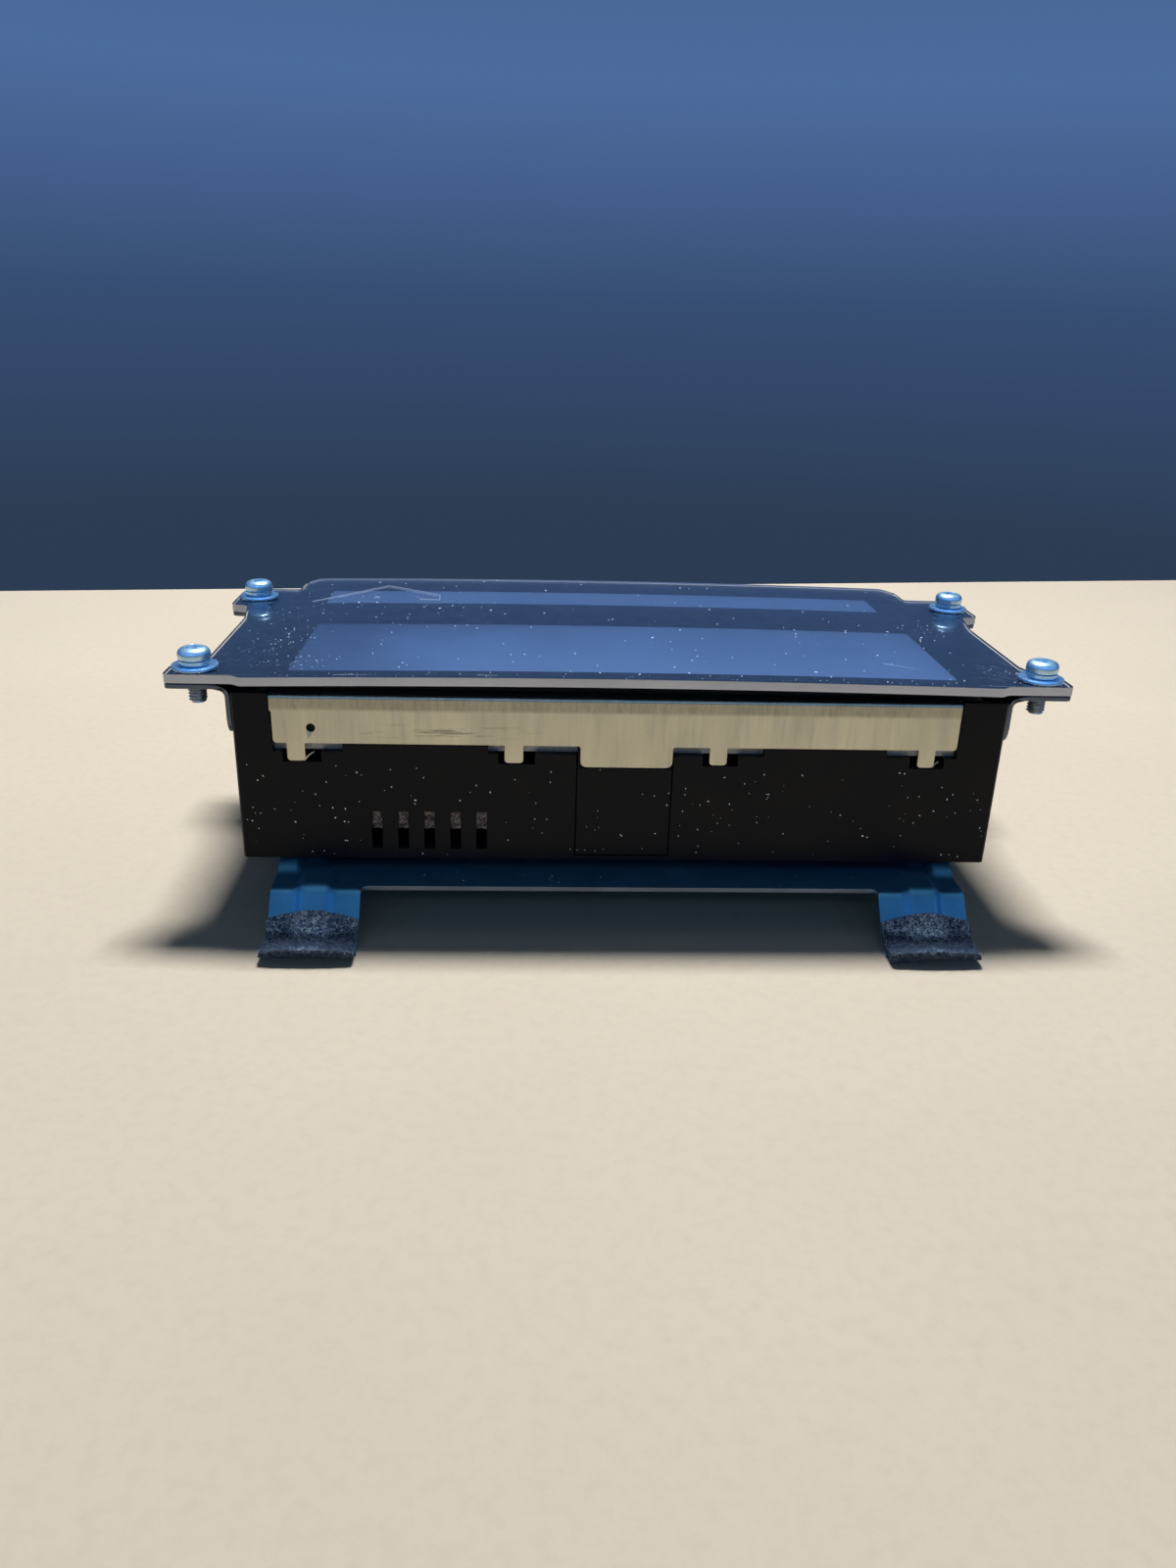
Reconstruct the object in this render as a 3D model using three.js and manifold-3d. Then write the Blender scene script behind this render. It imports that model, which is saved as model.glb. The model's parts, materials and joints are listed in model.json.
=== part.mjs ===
// Vehicle display and control unit: a clear two-window lens on four corner screws, a black box
// behind it, and a padded sheet-metal bracket underneath. Millimetres, X right, Y back, +Z up.
// The unit lies on its bracket with the lens facing up, and the origin is under its middle.
import * as THREE from "three";
import { mergeVertices } from "three/addons/utils/BufferGeometryUtils.js";
import Module from "manifold-3d";

const wasm = await Module();
wasm.setup();

// ---- driving dimensions ----
const GAP = 0.3; // between neighbouring pieces

const LENS_TOP = 55.5;
const LENS_THICK = 2;
const LENS_FRONT = -47.75;
const LENS_BACK = 47.75;
const EAR_X = 98.8;
const WAIST_X = 92.3;

const SCREW_X = 93;
const FRONT_SCREW_Y = -41;
const REAR_SCREW_Y = 23.5;
const THREAD_R = 2;
const HOLE_R = 2.3;
const SCREW_LENGTH = 9.6;
const HEAD_R = 3.5;
const HEAD_HIGH = 2.6;
const WASHER_R = 5;
const WASHER_THICK = 0.8;
const SPRING_R = 3.4;
const SPRING_THICK = 1;
const STACK_GAP = 0.1;

const MAIN_WINDOW = { x0: -73.5, x1: 74.5, y0: -40.5, y1: -1 };
const STRIP_WINDOW = { x0: -75, x1: 73, y0: 20.6, y1: 34.2 };
const GASKET_WIDE = 2.2;

const BOX_X = 85.2;
const BOX_FRONT = -45.75;
const BOX_BACK = 45;
const BOX_TOP = 51.4;
const BOX_FLOOR = 12.5;
const WALL = 2;

const SKIRT_X0 = -76.5;
const SKIRT_X1 = 74.5;
const SKIRT_LOW = 40.3;
const SHEET = 0.6;
const FRAME_TOP = 51.3;
const SKIRT_FRONT = BOX_FRONT - 0.4;

const SLOT_COUNT = 5;
const SLOT_FIRST_X = -54.9;
const SLOT_PITCH = 5.86;
const SLOT_WIDE = 2.4;
const SLOT_LOW = 15;
const SLOT_HIGH = 24.1;

const COVER_X0 = -10.4;
const COVER_X1 = 11.2;
const COVER_LOW = 13.5;

const STEEL = 1;
const FLANGE_X = BOX_X + GAP;
const FLANGE_LOW = 41;

const WEB_TOP = 10.3;
const EAR_STEP = 1.9;
const WEB_FRONT = 55.25;
const FOOT_X0 = 57.5;
const FOOT_X1 = 77;
const FOOT_TIP = 71.75;
const SLOPE_START = 55.9; // where the leg leaves the web's level and starts down
const SLOPE_DEG = 50;
const BEND_R = 2.5;
const TOE_R = 4;
const TOE_FLAT = -69; // the foot's tip is plain and flat as far in as this
const RIB_HIGH = 1.7;
const PAD_THICK = 1.5;
const PAD_TOP = 5.4;

const BOARD_LOW = 26;
const BOARD_THICK = 1.6;
const BOARD_TOP = BOARD_LOW + BOARD_THICK + GAP;
const POST_X = 66;
const POST_Y = 30;
const BRACKET_SCREW_X = 73.6;
const BRACKET_SCREW_Y = 38;
const M3_R = 1.5;
const M3_HOLE_R = 1.8;
const SOCKET_X = 25;
const SOCKET_WIDE = 27;
const SOCKET_HIGH = 9.5;

// ---- geometry helpers ----
function toSolid(geometry) {
  const plain = geometry.index ? geometry.toNonIndexed() : geometry.clone();
  plain.deleteAttribute("normal");
  plain.deleteAttribute("uv");
  const merged = mergeVertices(plain, 1e-4);
  return new wasm.Manifold(
    new wasm.Mesh({
      numProp: 3,
      vertProperties: new Float32Array(merged.attributes.position.array),
      triVerts: new Uint32Array(merged.index.array),
    }),
  );
}

function toGeometry(solid) {
  const mesh = solid.getMesh();
  const points = new Float32Array(mesh.numVert * 3);
  for (let i = 0; i < mesh.numVert; i++) {
    const at = i * mesh.numProp;
    points.set(mesh.vertProperties.subarray(at, at + 3), i * 3);
  }
  const geometry = new THREE.BufferGeometry();
  geometry.setAttribute("position", new THREE.BufferAttribute(points, 3));
  geometry.setIndex(new THREE.BufferAttribute(new Uint32Array(mesh.triVerts), 1));
  return geometry;
}

function joined(parts) {
  return toGeometry(parts.map(toSolid).reduce((a, b) => a.add(b)));
}

function cut(body, tools) {
  return toGeometry(tools.map(toSolid).reduce((a, b) => a.subtract(b), toSolid(body)));
}

function block(x0, x1, y0, y1, z0, z1) {
  const geometry = new THREE.BoxGeometry(x1 - x0, y1 - y0, z1 - z0);
  return geometry.translate((x0 + x1) / 2, (y0 + y1) / 2, (z0 + z1) / 2);
}

// A prism whose outline lies flat: drawn in X and Y, standing from z0 to z1.
function slab(shape, z0, z1, segments = 4) {
  const geometry = new THREE.ExtrudeGeometry(shape, {
    depth: z1 - z0,
    bevelEnabled: false,
    curveSegments: segments,
  });
  return geometry.translate(0, 0, z0);
}

// A prism whose outline is drawn in X and Z, running from y0 to y1.
function wallPlate(shape, y0, y1, segments = 4) {
  const geometry = slab(shape, 0, y1 - y0, segments);
  return geometry.rotateX(Math.PI / 2).translate(0, y1, 0);
}

// A prism whose outline is drawn in Y and Z, running from x0 to x1.
function sidePlate(shape, x0, x1, segments = 4) {
  const geometry = slab(shape, 0, x1 - x0, segments);
  return geometry.rotateZ(Math.PI / 2).rotateY(Math.PI / 2).translate(x0, 0, 0);
}

function outline(points) {
  return new THREE.Shape(points.map(([x, y]) => new THREE.Vector2(x, y)));
}

// A closed outline whose corners are rounded: each point is [x, y, radius].
function roundedOutline(points, steps = 3) {
  const path = [];
  points.forEach(([x, y, radius = 0], i) => {
    const corner = new THREE.Vector2(x, y);
    if (!radius) {
      path.push(corner);
      return;
    }
    const before = points[(i + points.length - 1) % points.length];
    const after = points[(i + 1) % points.length];
    const back = new THREE.Vector2(before[0] - x, before[1] - y).setLength(radius);
    const on = new THREE.Vector2(after[0] - x, after[1] - y).setLength(radius);
    const curve = new THREE.QuadraticBezierCurve(
      corner.clone().add(back),
      corner,
      corner.clone().add(on),
    );
    path.push(...curve.getPoints(steps));
  });
  return new THREE.Shape(path);
}

function rectangle(x0, x1, y0, y1, radius = 0) {
  const corners = [
    [x0, y0, radius],
    [x1, y0, radius],
    [x1, y1, radius],
    [x0, y1, radius],
  ];
  return roundedOutline(corners);
}

function roundHole(x, y, radius) {
  return new THREE.Path().absarc(x, y, radius, 0, Math.PI * 2, true);
}

// A round bar standing on the XY plane at x, y.
function bar(radius, x, y, z0, z1, sides = 20) {
  const geometry = new THREE.CylinderGeometry(radius, radius, z1 - z0, sides);
  return geometry.rotateX(Math.PI / 2).translate(x, y, (z0 + z1) / 2);
}

function turned(profile, sides = 24) {
  const points = profile.map(([r, z]) => new THREE.Vector2(r, z));
  return new THREE.LatheGeometry(points, sides).rotateX(Math.PI / 2);
}

function both(list, geometryOf) {
  return list.flatMap((item) => [geometryOf(item, -1), geometryOf(item, 1)]);
}

const CORNERS = [
  { tag: "front_left", x: -SCREW_X, y: FRONT_SCREW_Y },
  { tag: "front_right", x: SCREW_X, y: FRONT_SCREW_Y },
  { tag: "rear_left", x: -SCREW_X, y: REAR_SCREW_Y },
  { tag: "rear_right", x: SCREW_X, y: REAR_SCREW_Y },
];

const group = new THREE.Group();

function add(name, geometry, color, roughness, metalness, parent = group) {
  const material = new THREE.MeshStandardMaterial({ color, roughness, metalness });
  const flat = geometry.index ? geometry.toNonIndexed() : geometry;
  flat.computeVertexNormals();
  const mesh = new THREE.Mesh(flat, material);
  mesh.name = name;
  parent.add(mesh);
  return mesh;
}

// ---- the lens stack ----
const LENS_RIGHT_SIDE = [
  [82.5, LENS_FRONT, 0.8],
  [84.2, -46.25, 0.8],
  [EAR_X, -46.25, 1.6],
  [EAR_X, -39.5, 1.5],
  [WAIST_X, -31.5, 1.5],
  [WAIST_X, 2.6, 3],
  [94.4, 14.8, 1.4],
  [EAR_X, 15.8, 1.8],
  [EAR_X, 33.75, 3],
  [84, 33.75, 2],
  [84, 42, 1.5],
  [81.4, 47, 0.8],
  [79.5, LENS_BACK, 0.6],
];

function mirroredOutline(rightSide) {
  const leftSide = rightSide.map(([x, y, r]) => [-x, y, r]).reverse();
  return roundedOutline([...rightSide, ...leftSide]);
}

function lens() {
  const shape = mirroredOutline(LENS_RIGHT_SIDE);
  CORNERS.forEach(({ x, y }) => shape.holes.push(roundHole(x, y, HOLE_R)));
  return slab(shape, LENS_TOP - LENS_THICK, LENS_TOP, 5);
}

const MASK_TOP = LENS_TOP - LENS_THICK - GAP;
const MASK_LOW = MASK_TOP - GAP;
const MASK_RIGHT_SIDE = [
  [82, -47.3, 0.8],
  [82, -31],
  [91.8, -31, 1.5],
  [91.8, 1.5, 1.5],
  [83.5, 9],
  [83.5, 42, 1.5],
  [80.5, 47.3, 1.5],
];

function windowHole({ x0, x1, y0, y1 }) {
  return rectangle(x0, x1, y0, y1, 0.8);
}

function lensMask() {
  const shape = mirroredOutline(MASK_RIGHT_SIDE);
  shape.holes.push(windowHole(MAIN_WINDOW), windowHole(STRIP_WINDOW));
  return slab(shape, MASK_LOW, MASK_TOP);
}

function gasket({ x0, x1, y0, y1 }) {
  const wide = GASKET_WIDE;
  const shape = rectangle(x0 - wide, x1 + wide, y0 - wide, y1 + wide, 1.5);
  shape.holes.push(rectangle(x0 + GAP, x1 - GAP, y0 + GAP, y1 - GAP, 0.8));
  return slab(shape, FRAME_TOP + GAP, MASK_LOW - GAP);
}

// ---- side brackets: two ears under the lens and one flange down the side of the box ----
const EAR_TOP = LENS_TOP - LENS_THICK - GAP;
const SIDE_SCREW_YS = [-15, 28];
const SIDE_SCREW_Z = 46;
const FRONT_EAR = [
  [FLANGE_X, -46, 0.6],
  [EAR_X, -46, 1.6],
  [EAR_X, -39.5, 1.5],
  [WAIST_X, -31.5, 1.5],
  [FLANGE_X, -31.5, 0.6],
];
const REAR_EAR = [
  [FLANGE_X, 10, 0.6],
  [WAIST_X, 10, 1.5],
  [94.2, 15.8, 1.4],
  [EAR_X, 16.4, 1.6],
  [EAR_X, 33.4, 3],
  [FLANGE_X, 33.4, 0.6],
];
const FLANGE_OUTLINE = [
  [-44.25, FLANGE_LOW, 4.5],
  [33.4, FLANGE_LOW, 4.5],
  [33.4, EAR_TOP - STEEL / 2],
  [10, EAR_TOP - STEEL / 2],
  [10, 50, 1],
  [-31.5, 50, 1],
  [-31.5, EAR_TOP - STEEL / 2],
  [-44.25, EAR_TOP - STEEL / 2],
];

function sideBracket(side) {
  const place = (points) => points.map(([x, y, r]) => [side * x, y, r]);
  const wind = (points) => (side > 0 ? place(points) : place(points).reverse());
  const ears = [FRONT_EAR, REAR_EAR].map((ear, i) => {
    const shape = roundedOutline(wind(ear));
    const y = i ? REAR_SCREW_Y : FRONT_SCREW_Y;
    shape.holes.push(roundHole(side * SCREW_X, y, HOLE_R));
    return slab(shape, EAR_TOP - STEEL, EAR_TOP, 5);
  });
  const flange = roundedOutline(FLANGE_OUTLINE);
  SIDE_SCREW_YS.forEach((y) => flange.holes.push(roundHole(y, SIDE_SCREW_Z, M3_HOLE_R)));
  const x0 = side > 0 ? FLANGE_X : -FLANGE_X - STEEL;
  return joined([...ears, sidePlate(flange, x0, x0 + STEEL, 5)]);
}

// ---- corner screws with their captive washers ----
const WASHER_LOW = LENS_TOP + STACK_GAP;
const SPRING_LOW = WASHER_LOW + WASHER_THICK + STACK_GAP;
const HEAD_LOW = SPRING_LOW + SPRING_THICK + STACK_GAP;

function ring(outer, inner, z0, z1) {
  const shape = new THREE.Shape().absarc(0, 0, outer, 0, Math.PI * 2);
  shape.holes.push(roundHole(0, 0, inner));
  return slab(shape, z0, z1, 10);
}

function splitRing(outer, inner, z0, z1) {
  const slit = 0.16; // half the split, in radians
  const shape = new THREE.Shape();
  shape.absarc(0, 0, outer, slit, Math.PI * 2 - slit);
  shape.absarc(0, 0, inner, Math.PI * 2 - slit, slit, true);
  return slab(shape, z0, z1, 11);
}

function crossRecess(top, wide, long, deep) {
  return [
    block(-long / 2, long / 2, -wide / 2, wide / 2, top - deep, top + 1),
    block(-wide / 2, wide / 2, -long / 2, long / 2, top - deep, top + 1),
  ];
}

function panScrew(threadR, length, headR, headHigh, sides) {
  const body = turned(
    [
      [0, -length],
      [threadR * 0.75, -length],
      [threadR, -length + threadR * 0.3],
      [threadR, 0],
      [headR, 0],
      [headR, headHigh * 0.45],
      [headR * 0.88, headHigh * 0.8],
      [headR * 0.55, headHigh],
      [0, headHigh],
    ],
    sides,
  );
  const recess = crossRecess(headHigh, headR * 0.3, headR * 1.2, headHigh * 0.55);
  return cut(body, recess);
}

// ---- the box ----
function boxShell() {
  const outer = slab(rectangle(-BOX_X, BOX_X, BOX_FRONT, BOX_BACK, 1.2), BOX_FLOOR, BOX_TOP);
  const inX = BOX_X - WALL;
  const hollow = block(
    -inX,
    inX,
    BOX_FRONT + WALL,
    BOX_BACK - WALL,
    BOX_FLOOR - 1,
    BOX_TOP + 1,
  );
  const shell = cut(outer, [hollow]);
  const inset = 4.2;
  const ledges = both([-33, 33], (y, side) => {
    const x = side * (inX - inset / 2 + 0.5);
    return block(x - inset / 2 - 0.5, x + inset / 2, y - 3, y + 3, 33.5, 37.6);
  });
  const bosses = both([-1, 1], (end, side) => {
    const x0 = side > 0 ? BRACKET_SCREW_X - 4 : -inX - 0.5;
    const x1 = side > 0 ? inX + 0.5 : -BRACKET_SCREW_X + 4;
    const y = end * BRACKET_SCREW_Y;
    return block(x0, x1, y - 4, y + 4, 15, 23);
  });
  const full = joined([shell, ...ledges, ...bosses]);
  return cut(full, [...frontOpenings(), ...screwHoles(), ...socketOpenings()]);
}

const NOTCHES = [
  { x0: -76.8, x1: -61.7, deepX0: -74.7, deepX1: -66.4, tabX0: -73.6, tabX1: -69.7 },
  { x0: -29.9, x1: -10.4, deepX0: -27.7, deepX1: -19.6, tabX0: -26.3, tabX1: -22.2 },
  { x0: 11.2, x1: 31.4, deepX0: 17.7, deepX1: 25.6, tabX0: 19.1, tabX1: 23 },
  { x0: 59, x1: 74.9, deepX0: 64.4, deepX1: 72.2, tabX0: 66, tabX1: 69.8 },
];
const NOTCH_LOW = 38.2;
const NOTCH_DEEP = 35.8;
const TAB_LOW = 36.2;

function slotX(i) {
  return SLOT_FIRST_X + i * SLOT_PITCH;
}

// Everything cut through or into the front wall.
function frontOpenings() {
  const y0 = BOX_FRONT - 1;
  const recessBack = SKIRT_FRONT + SHEET + GAP;
  const wallBack = BOX_FRONT + WALL + 0.2;
  const side = GAP + 0.1;
  const x0 = SKIRT_X0 - side;
  const x1 = SKIRT_X1 + side;
  const recess = block(x0, x1, y0, recessBack, SKIRT_LOW - GAP, BOX_TOP + 1);
  const lip = block(x0, x1, y0, wallBack, FRAME_TOP - SHEET - GAP, BOX_TOP + 1);
  const notches = NOTCHES.flatMap((n) => [
    block(n.x0, n.x1, y0, wallBack, NOTCH_LOW, SKIRT_LOW),
    block(n.deepX0, n.deepX1, y0, wallBack, NOTCH_DEEP, SKIRT_LOW),
  ]);
  const slots = Array.from({ length: SLOT_COUNT }, (_, i) => {
    const x = slotX(i);
    return block(x - SLOT_WIDE / 2, x + SLOT_WIDE / 2, y0, wallBack, SLOT_LOW, SLOT_HIGH);
  });
  const coverBay = block(COVER_X0, COVER_X1, y0, wallBack, COVER_LOW, SKIRT_LOW);
  return [recess, lip, ...notches, ...slots, coverBay];
}

function screwHoles() {
  const sides = both(SIDE_SCREW_YS, (y, side) =>
    bar(M3_HOLE_R, 0, 0, -4, 4, 16)
      .rotateY(Math.PI / 2)
      .translate(side * (BOX_X - 1), y, SIDE_SCREW_Z),
  );
  const below = both([-1, 1], (end, side) =>
    bar(M3_HOLE_R, side * BRACKET_SCREW_X, end * BRACKET_SCREW_Y, 10, 21, 16),
  );
  return [...sides, ...below];
}

function socketOpenings() {
  return [-1, 1].map((side) => {
    const half = SOCKET_WIDE / 2 + GAP;
    const x = side * SOCKET_X;
    const z0 = BOARD_TOP - GAP;
    return block(x - half, x + half, 40, 50, z0, z0 + SOCKET_HIGH + 3 * GAP);
  });
}

// The strip of the front wall between the two joint lines is a piece of its own.
function centreCover() {
  const x0 = COVER_X0 + 0.2;
  const x1 = COVER_X1 - 0.2;
  const back = BOX_FRONT + WALL;
  const behindTab = SKIRT_FRONT + SHEET + GAP;
  return joined([
    block(x0, x1, BOX_FRONT, back, COVER_LOW + 0.2, 35.1),
    block(x0, x1, behindTab, back, 35, SKIRT_LOW - 0.5),
  ]);
}

// ---- sheet-metal frames round the displays ----
function frontFrame() {
  const r = 0.9;
  const top = rectangle(-80, 80, BOX_FRONT + WALL + GAP, 42);
  [MAIN_WINDOW, STRIP_WINDOW].forEach((w) => {
    top.holes.push(rectangle(w.x0 + 1, w.x1 - 1, w.y0 + 1, w.y1 - 1));
  });
  const sheet = slab(top, FRAME_TOP - SHEET, FRAME_TOP);
  const lip = slab(
    outline([
      [SKIRT_X0, SKIRT_FRONT + r],
      [SKIRT_X1, SKIRT_FRONT + r],
      [SKIRT_X1, BOX_FRONT + WALL + 1],
      [SKIRT_X0, BOX_FRONT + WALL + 1],
    ]),
    FRAME_TOP - SHEET,
    FRAME_TOP,
  );
  const skirt = wallPlate(skirtOutline(FRAME_TOP - r), SKIRT_FRONT, SKIRT_FRONT + SHEET, 3);
  const corner = sidePlate(bendOutline(r), SKIRT_X0, SKIRT_X1);
  const solid = joined([sheet, lip, skirt, corner]);
  const hole = bar(0.95, 0, 0, -2, 2, 14).rotateX(Math.PI / 2).translate(-68.2, SKIRT_FRONT, 43.9);
  return cut(solid, [hole]);
}

// The rounded corner between the skirt and the top sheet, drawn in Y and Z.
function bendOutline(r) {
  const steps = 4;
  const at = (radius, i) => {
    const angle = Math.PI / 2 + (Math.PI / 2) * (i / steps);
    const y = SKIRT_FRONT + r + radius * Math.cos(angle);
    return [y, FRAME_TOP - r + radius * Math.sin(angle)];
  };
  const outer = Array.from({ length: steps + 1 }, (_, i) => at(r, i));
  const inner = Array.from({ length: steps + 1 }, (_, i) => at(r - SHEET, steps - i));
  return outline([...outer, ...inner]);
}

function skirtOutline(top) {
  const [one, two, three, four] = NOTCHES;
  const tab = (n) => [
    [n.tabX0, SKIRT_LOW, 0],
    [n.tabX0, TAB_LOW, 0.9],
    [n.tabX1, TAB_LOW, 0.9],
    [n.tabX1, SKIRT_LOW, 0],
  ];
  return roundedOutline(
    [
      [SKIRT_X0, SKIRT_LOW, 1],
      ...tab(one),
      ...tab(two),
      [-9.6, SKIRT_LOW, 0.6],
      [-9.6, 35.4, 1.6],
      [10.9, 35.4, 1.6],
      [10.9, SKIRT_LOW, 0.6],
      ...tab(three),
      ...tab(four),
      [SKIRT_X1, SKIRT_LOW, 1],
      [SKIRT_X1, top, 0],
      [SKIRT_X0, top, 0],
    ],
    2,
  );
}

const TRAY_FRONT = BOX_FRONT + WALL + GAP;
const TRAY_BACK = 42;
const TRAY_X = 80;
const TRAY_LOW = 38;
const TRAY_FLOOR = 42;
const TRAY_SHEET = 0.8;
const TRAY_TOP = FRAME_TOP - SHEET - GAP;

function rearFrame() {
  const t = TRAY_SHEET;
  const outer = block(-TRAY_X, TRAY_X, TRAY_FRONT, TRAY_BACK, TRAY_LOW, TRAY_TOP);
  const inX = TRAY_X - t;
  const y0 = TRAY_FRONT + t;
  const y1 = TRAY_BACK - t;
  return cut(outer, [
    block(-inX, inX, y0, y1, TRAY_FLOOR + t, TRAY_TOP + 1),
    block(-inX, inX, y0, y1, TRAY_LOW - 1, TRAY_FLOOR),
    block(38, 62, 6, 12, TRAY_LOW - 1, TRAY_TOP),
  ]);
}

// ---- displays and their light ----
const PANEL_X = 78;
const PANEL_TOP = TRAY_TOP - GAP;
const PANEL_THICK = 2.4;
const GUIDE_TOP = PANEL_TOP - PANEL_THICK - GAP;
const GUIDE_LOW = TRAY_FLOOR + TRAY_SHEET + GAP;

function panel(y0, y1) {
  return block(-PANEL_X, PANEL_X, y0, y1, PANEL_TOP - PANEL_THICK, PANEL_TOP);
}

function lightGuide(y0, y1) {
  return block(-PANEL_X, PANEL_X, y0, y1, GUIDE_LOW, GUIDE_TOP);
}

function ledBar() {
  const strip = block(-76, 76, 4, 14, GUIDE_LOW, GUIDE_LOW + 1.2);
  const leds = [-60, -36, -12, 12, 36, 60].map((x) =>
    block(x - 1.8, x + 1.8, 4.6, 7.4, GUIDE_LOW + 1, GUIDE_LOW + 2),
  );
  return joined([strip, ...leds]);
}

// ---- electronics ----
function mainBoard() {
  const shape = rectangle(-79, 79, -39, 39.5, 1);
  both([-POST_Y, POST_Y], (y, side) =>
    shape.holes.push(roundHole(side * POST_X, y, M3_HOLE_R)),
  );
  return slab(shape, BOARD_LOW, BOARD_LOW + BOARD_THICK);
}

function chip(x, y, wide, long, high) {
  const z = BOARD_TOP;
  const base = rectangle(x - wide / 2, x + wide / 2, y - long / 2, y + long / 2, 0.6);
  return slab(base, z, z + high, 2);
}

function capacitor(radius, high) {
  return turned(
    [
      [0, 0],
      [radius, 0],
      [radius, high - 0.6],
      [radius - 0.6, high],
      [0, high],
    ],
    18,
  );
}

// A header open to the back, with its pins standing in the hollow.
function socket() {
  const half = SOCKET_WIDE / 2;
  const body = block(-half, half, 33, 47, 0, SOCKET_HIGH);
  const hollow = block(-half + 1.3, half - 1.3, 36.5, 48, 1.3, SOCKET_HIGH - 1.3);
  const key = block(-3, 3, 36.5, 48, SOCKET_HIGH - 1.5, SOCKET_HIGH + 1);
  const pins = [-9, -5.4, -1.8, 1.8, 5.4, 9].map((x) =>
    block(x - 0.5, x + 0.5, 36, 42, 4.2, 5.2),
  );
  return joined([cut(body, [hollow, key]), ...pins]);
}

function ribbon() {
  const t = 0.3;
  const low = BOARD_TOP + 1;
  const path = outline([
    [9, 42.7],
    [9, low + 3],
    [8, low + 1],
    [6, low],
    [1.8, low],
    [1.8, low + t],
    [6 - 0.1, low + t],
    [8 - 0.25, low + 1 + 0.15],
    [9 - t, low + 3 + 0.1],
    [9 - t, 42.7],
  ]);
  return sidePlate(path, 41, 59);
}

function ribbonConnector() {
  const z = BOARD_TOP;
  const body = block(39.5, 60.5, -2.5, 3, z, z + 2.6);
  return cut(body, [block(40.6, 59.4, 1, 4, z + 0.7, z + 1.6)]);
}

// ---- rear cover with the posts that carry the board ----
function rearCover() {
  const x = BOX_X - WALL - GAP;
  const y0 = BOX_FRONT + WALL + GAP;
  const y1 = BOX_BACK - WALL - GAP;
  const z0 = BOX_FLOOR + 0.1;
  const shape = rectangle(-x, x, y0, y1);
  both([-BRACKET_SCREW_Y, BRACKET_SCREW_Y], (y, side) =>
    shape.holes.push(roundHole(side * BRACKET_SCREW_X, y, M3_HOLE_R)),
  );
  const plate = slab(shape, z0, z0 + WALL);
  const posts = both([-POST_Y, POST_Y], (y, side) =>
    bar(3.6, side * POST_X, y, z0 + WALL - 0.5, BOARD_LOW - GAP, 16),
  );
  const bores = both([-POST_Y, POST_Y], (y, side) =>
    bar(M3_HOLE_R, side * POST_X, y, BOARD_LOW - 7, BOARD_LOW + 1, 16),
  );
  return cut(joined([plate, ...posts]), bores);
}

// ---- bracket underneath: a web, two side legs and four padded feet ----
// The legs follow one path from foot to foot; each path point is [y, z, normalY, normalZ].
function arcPoints(cy, cz, radius, from, to, steps, outward) {
  return Array.from({ length: steps + 1 }, (_, i) => {
    const angle = from + (to - from) * (i / steps);
    const y = cy + radius * Math.cos(angle);
    const z = cz + radius * Math.sin(angle);
    return [y, z, outward * Math.cos(angle), outward * Math.sin(angle)];
  });
}

function frontLegPath() {
  const slope = THREE.MathUtils.degToRad(SLOPE_DEG);
  const quarter = Math.PI / 2;
  const bendZ = WEB_TOP - BEND_R;
  const toeZ = STEEL + TOE_R;
  const slopeTop = bendZ + BEND_R * Math.cos(slope);
  const slopeLow = toeZ - TOE_R * Math.cos(slope);
  const run = (slopeTop - slopeLow) / Math.tan(slope);
  const toeY = -SLOPE_START - (BEND_R + TOE_R) * Math.sin(slope) - run;
  const toe = arcPoints(toeY, toeZ, TOE_R, -quarter, slope - quarter, 4, -1);
  const bend = arcPoints(-SLOPE_START, bendZ, BEND_R, quarter + slope, quarter, 4, 1);
  const [startY, startZ, ny, nz] = toe[toe.length - 1];
  const along = [0.3, 0.6].map((share) => {
    const z = startZ + share * (slopeTop - slopeLow);
    return [startY + (z - startZ) / Math.tan(slope), z, ny, nz];
  });
  const flat = [-50.25, -47.75, -45.6, -43.5, -30, -20].map((y) => [y, WEB_TOP, 0, 1]);
  const tip = [-FOOT_TIP, TOE_FLAT].map((y) => [y, STEEL, 0, 1]);
  return [...tip, ...toe, ...along, ...bend, ...flat];
}

function smooth(from, to, value) {
  const t = THREE.MathUtils.clamp((value - from) / (to - from), 0, 1);
  return t * t * (3 - 2 * t);
}

// How far the pressed shape stands above the plain sheet at a place on a leg.
function legRise(x, y) {
  const middle = (FOOT_X0 + FOOT_X1) / 2;
  const across = 1 - smooth(2.4, 5.2, Math.abs(x - middle));
  const along = smooth(-69, -64, y) * (1 - smooth(-49.5, -45.8, y));
  const rib = RIB_HIGH * across * along;
  const outerStrip = smooth(72, 73.2, x) * smooth(-50.25, -47.75, y);
  const innerStrip = smooth(65.5, 69, x) * smooth(-46, -43.5, y);
  const landing = 1 - smooth(-30, -20, y);
  return rib + EAR_STEP * Math.max(outerStrip, innerStrip) * landing;
}

const LEG_XS = [57.5, 62, 64.6, 69.9, 71.6, 73.2, 77];

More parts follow.
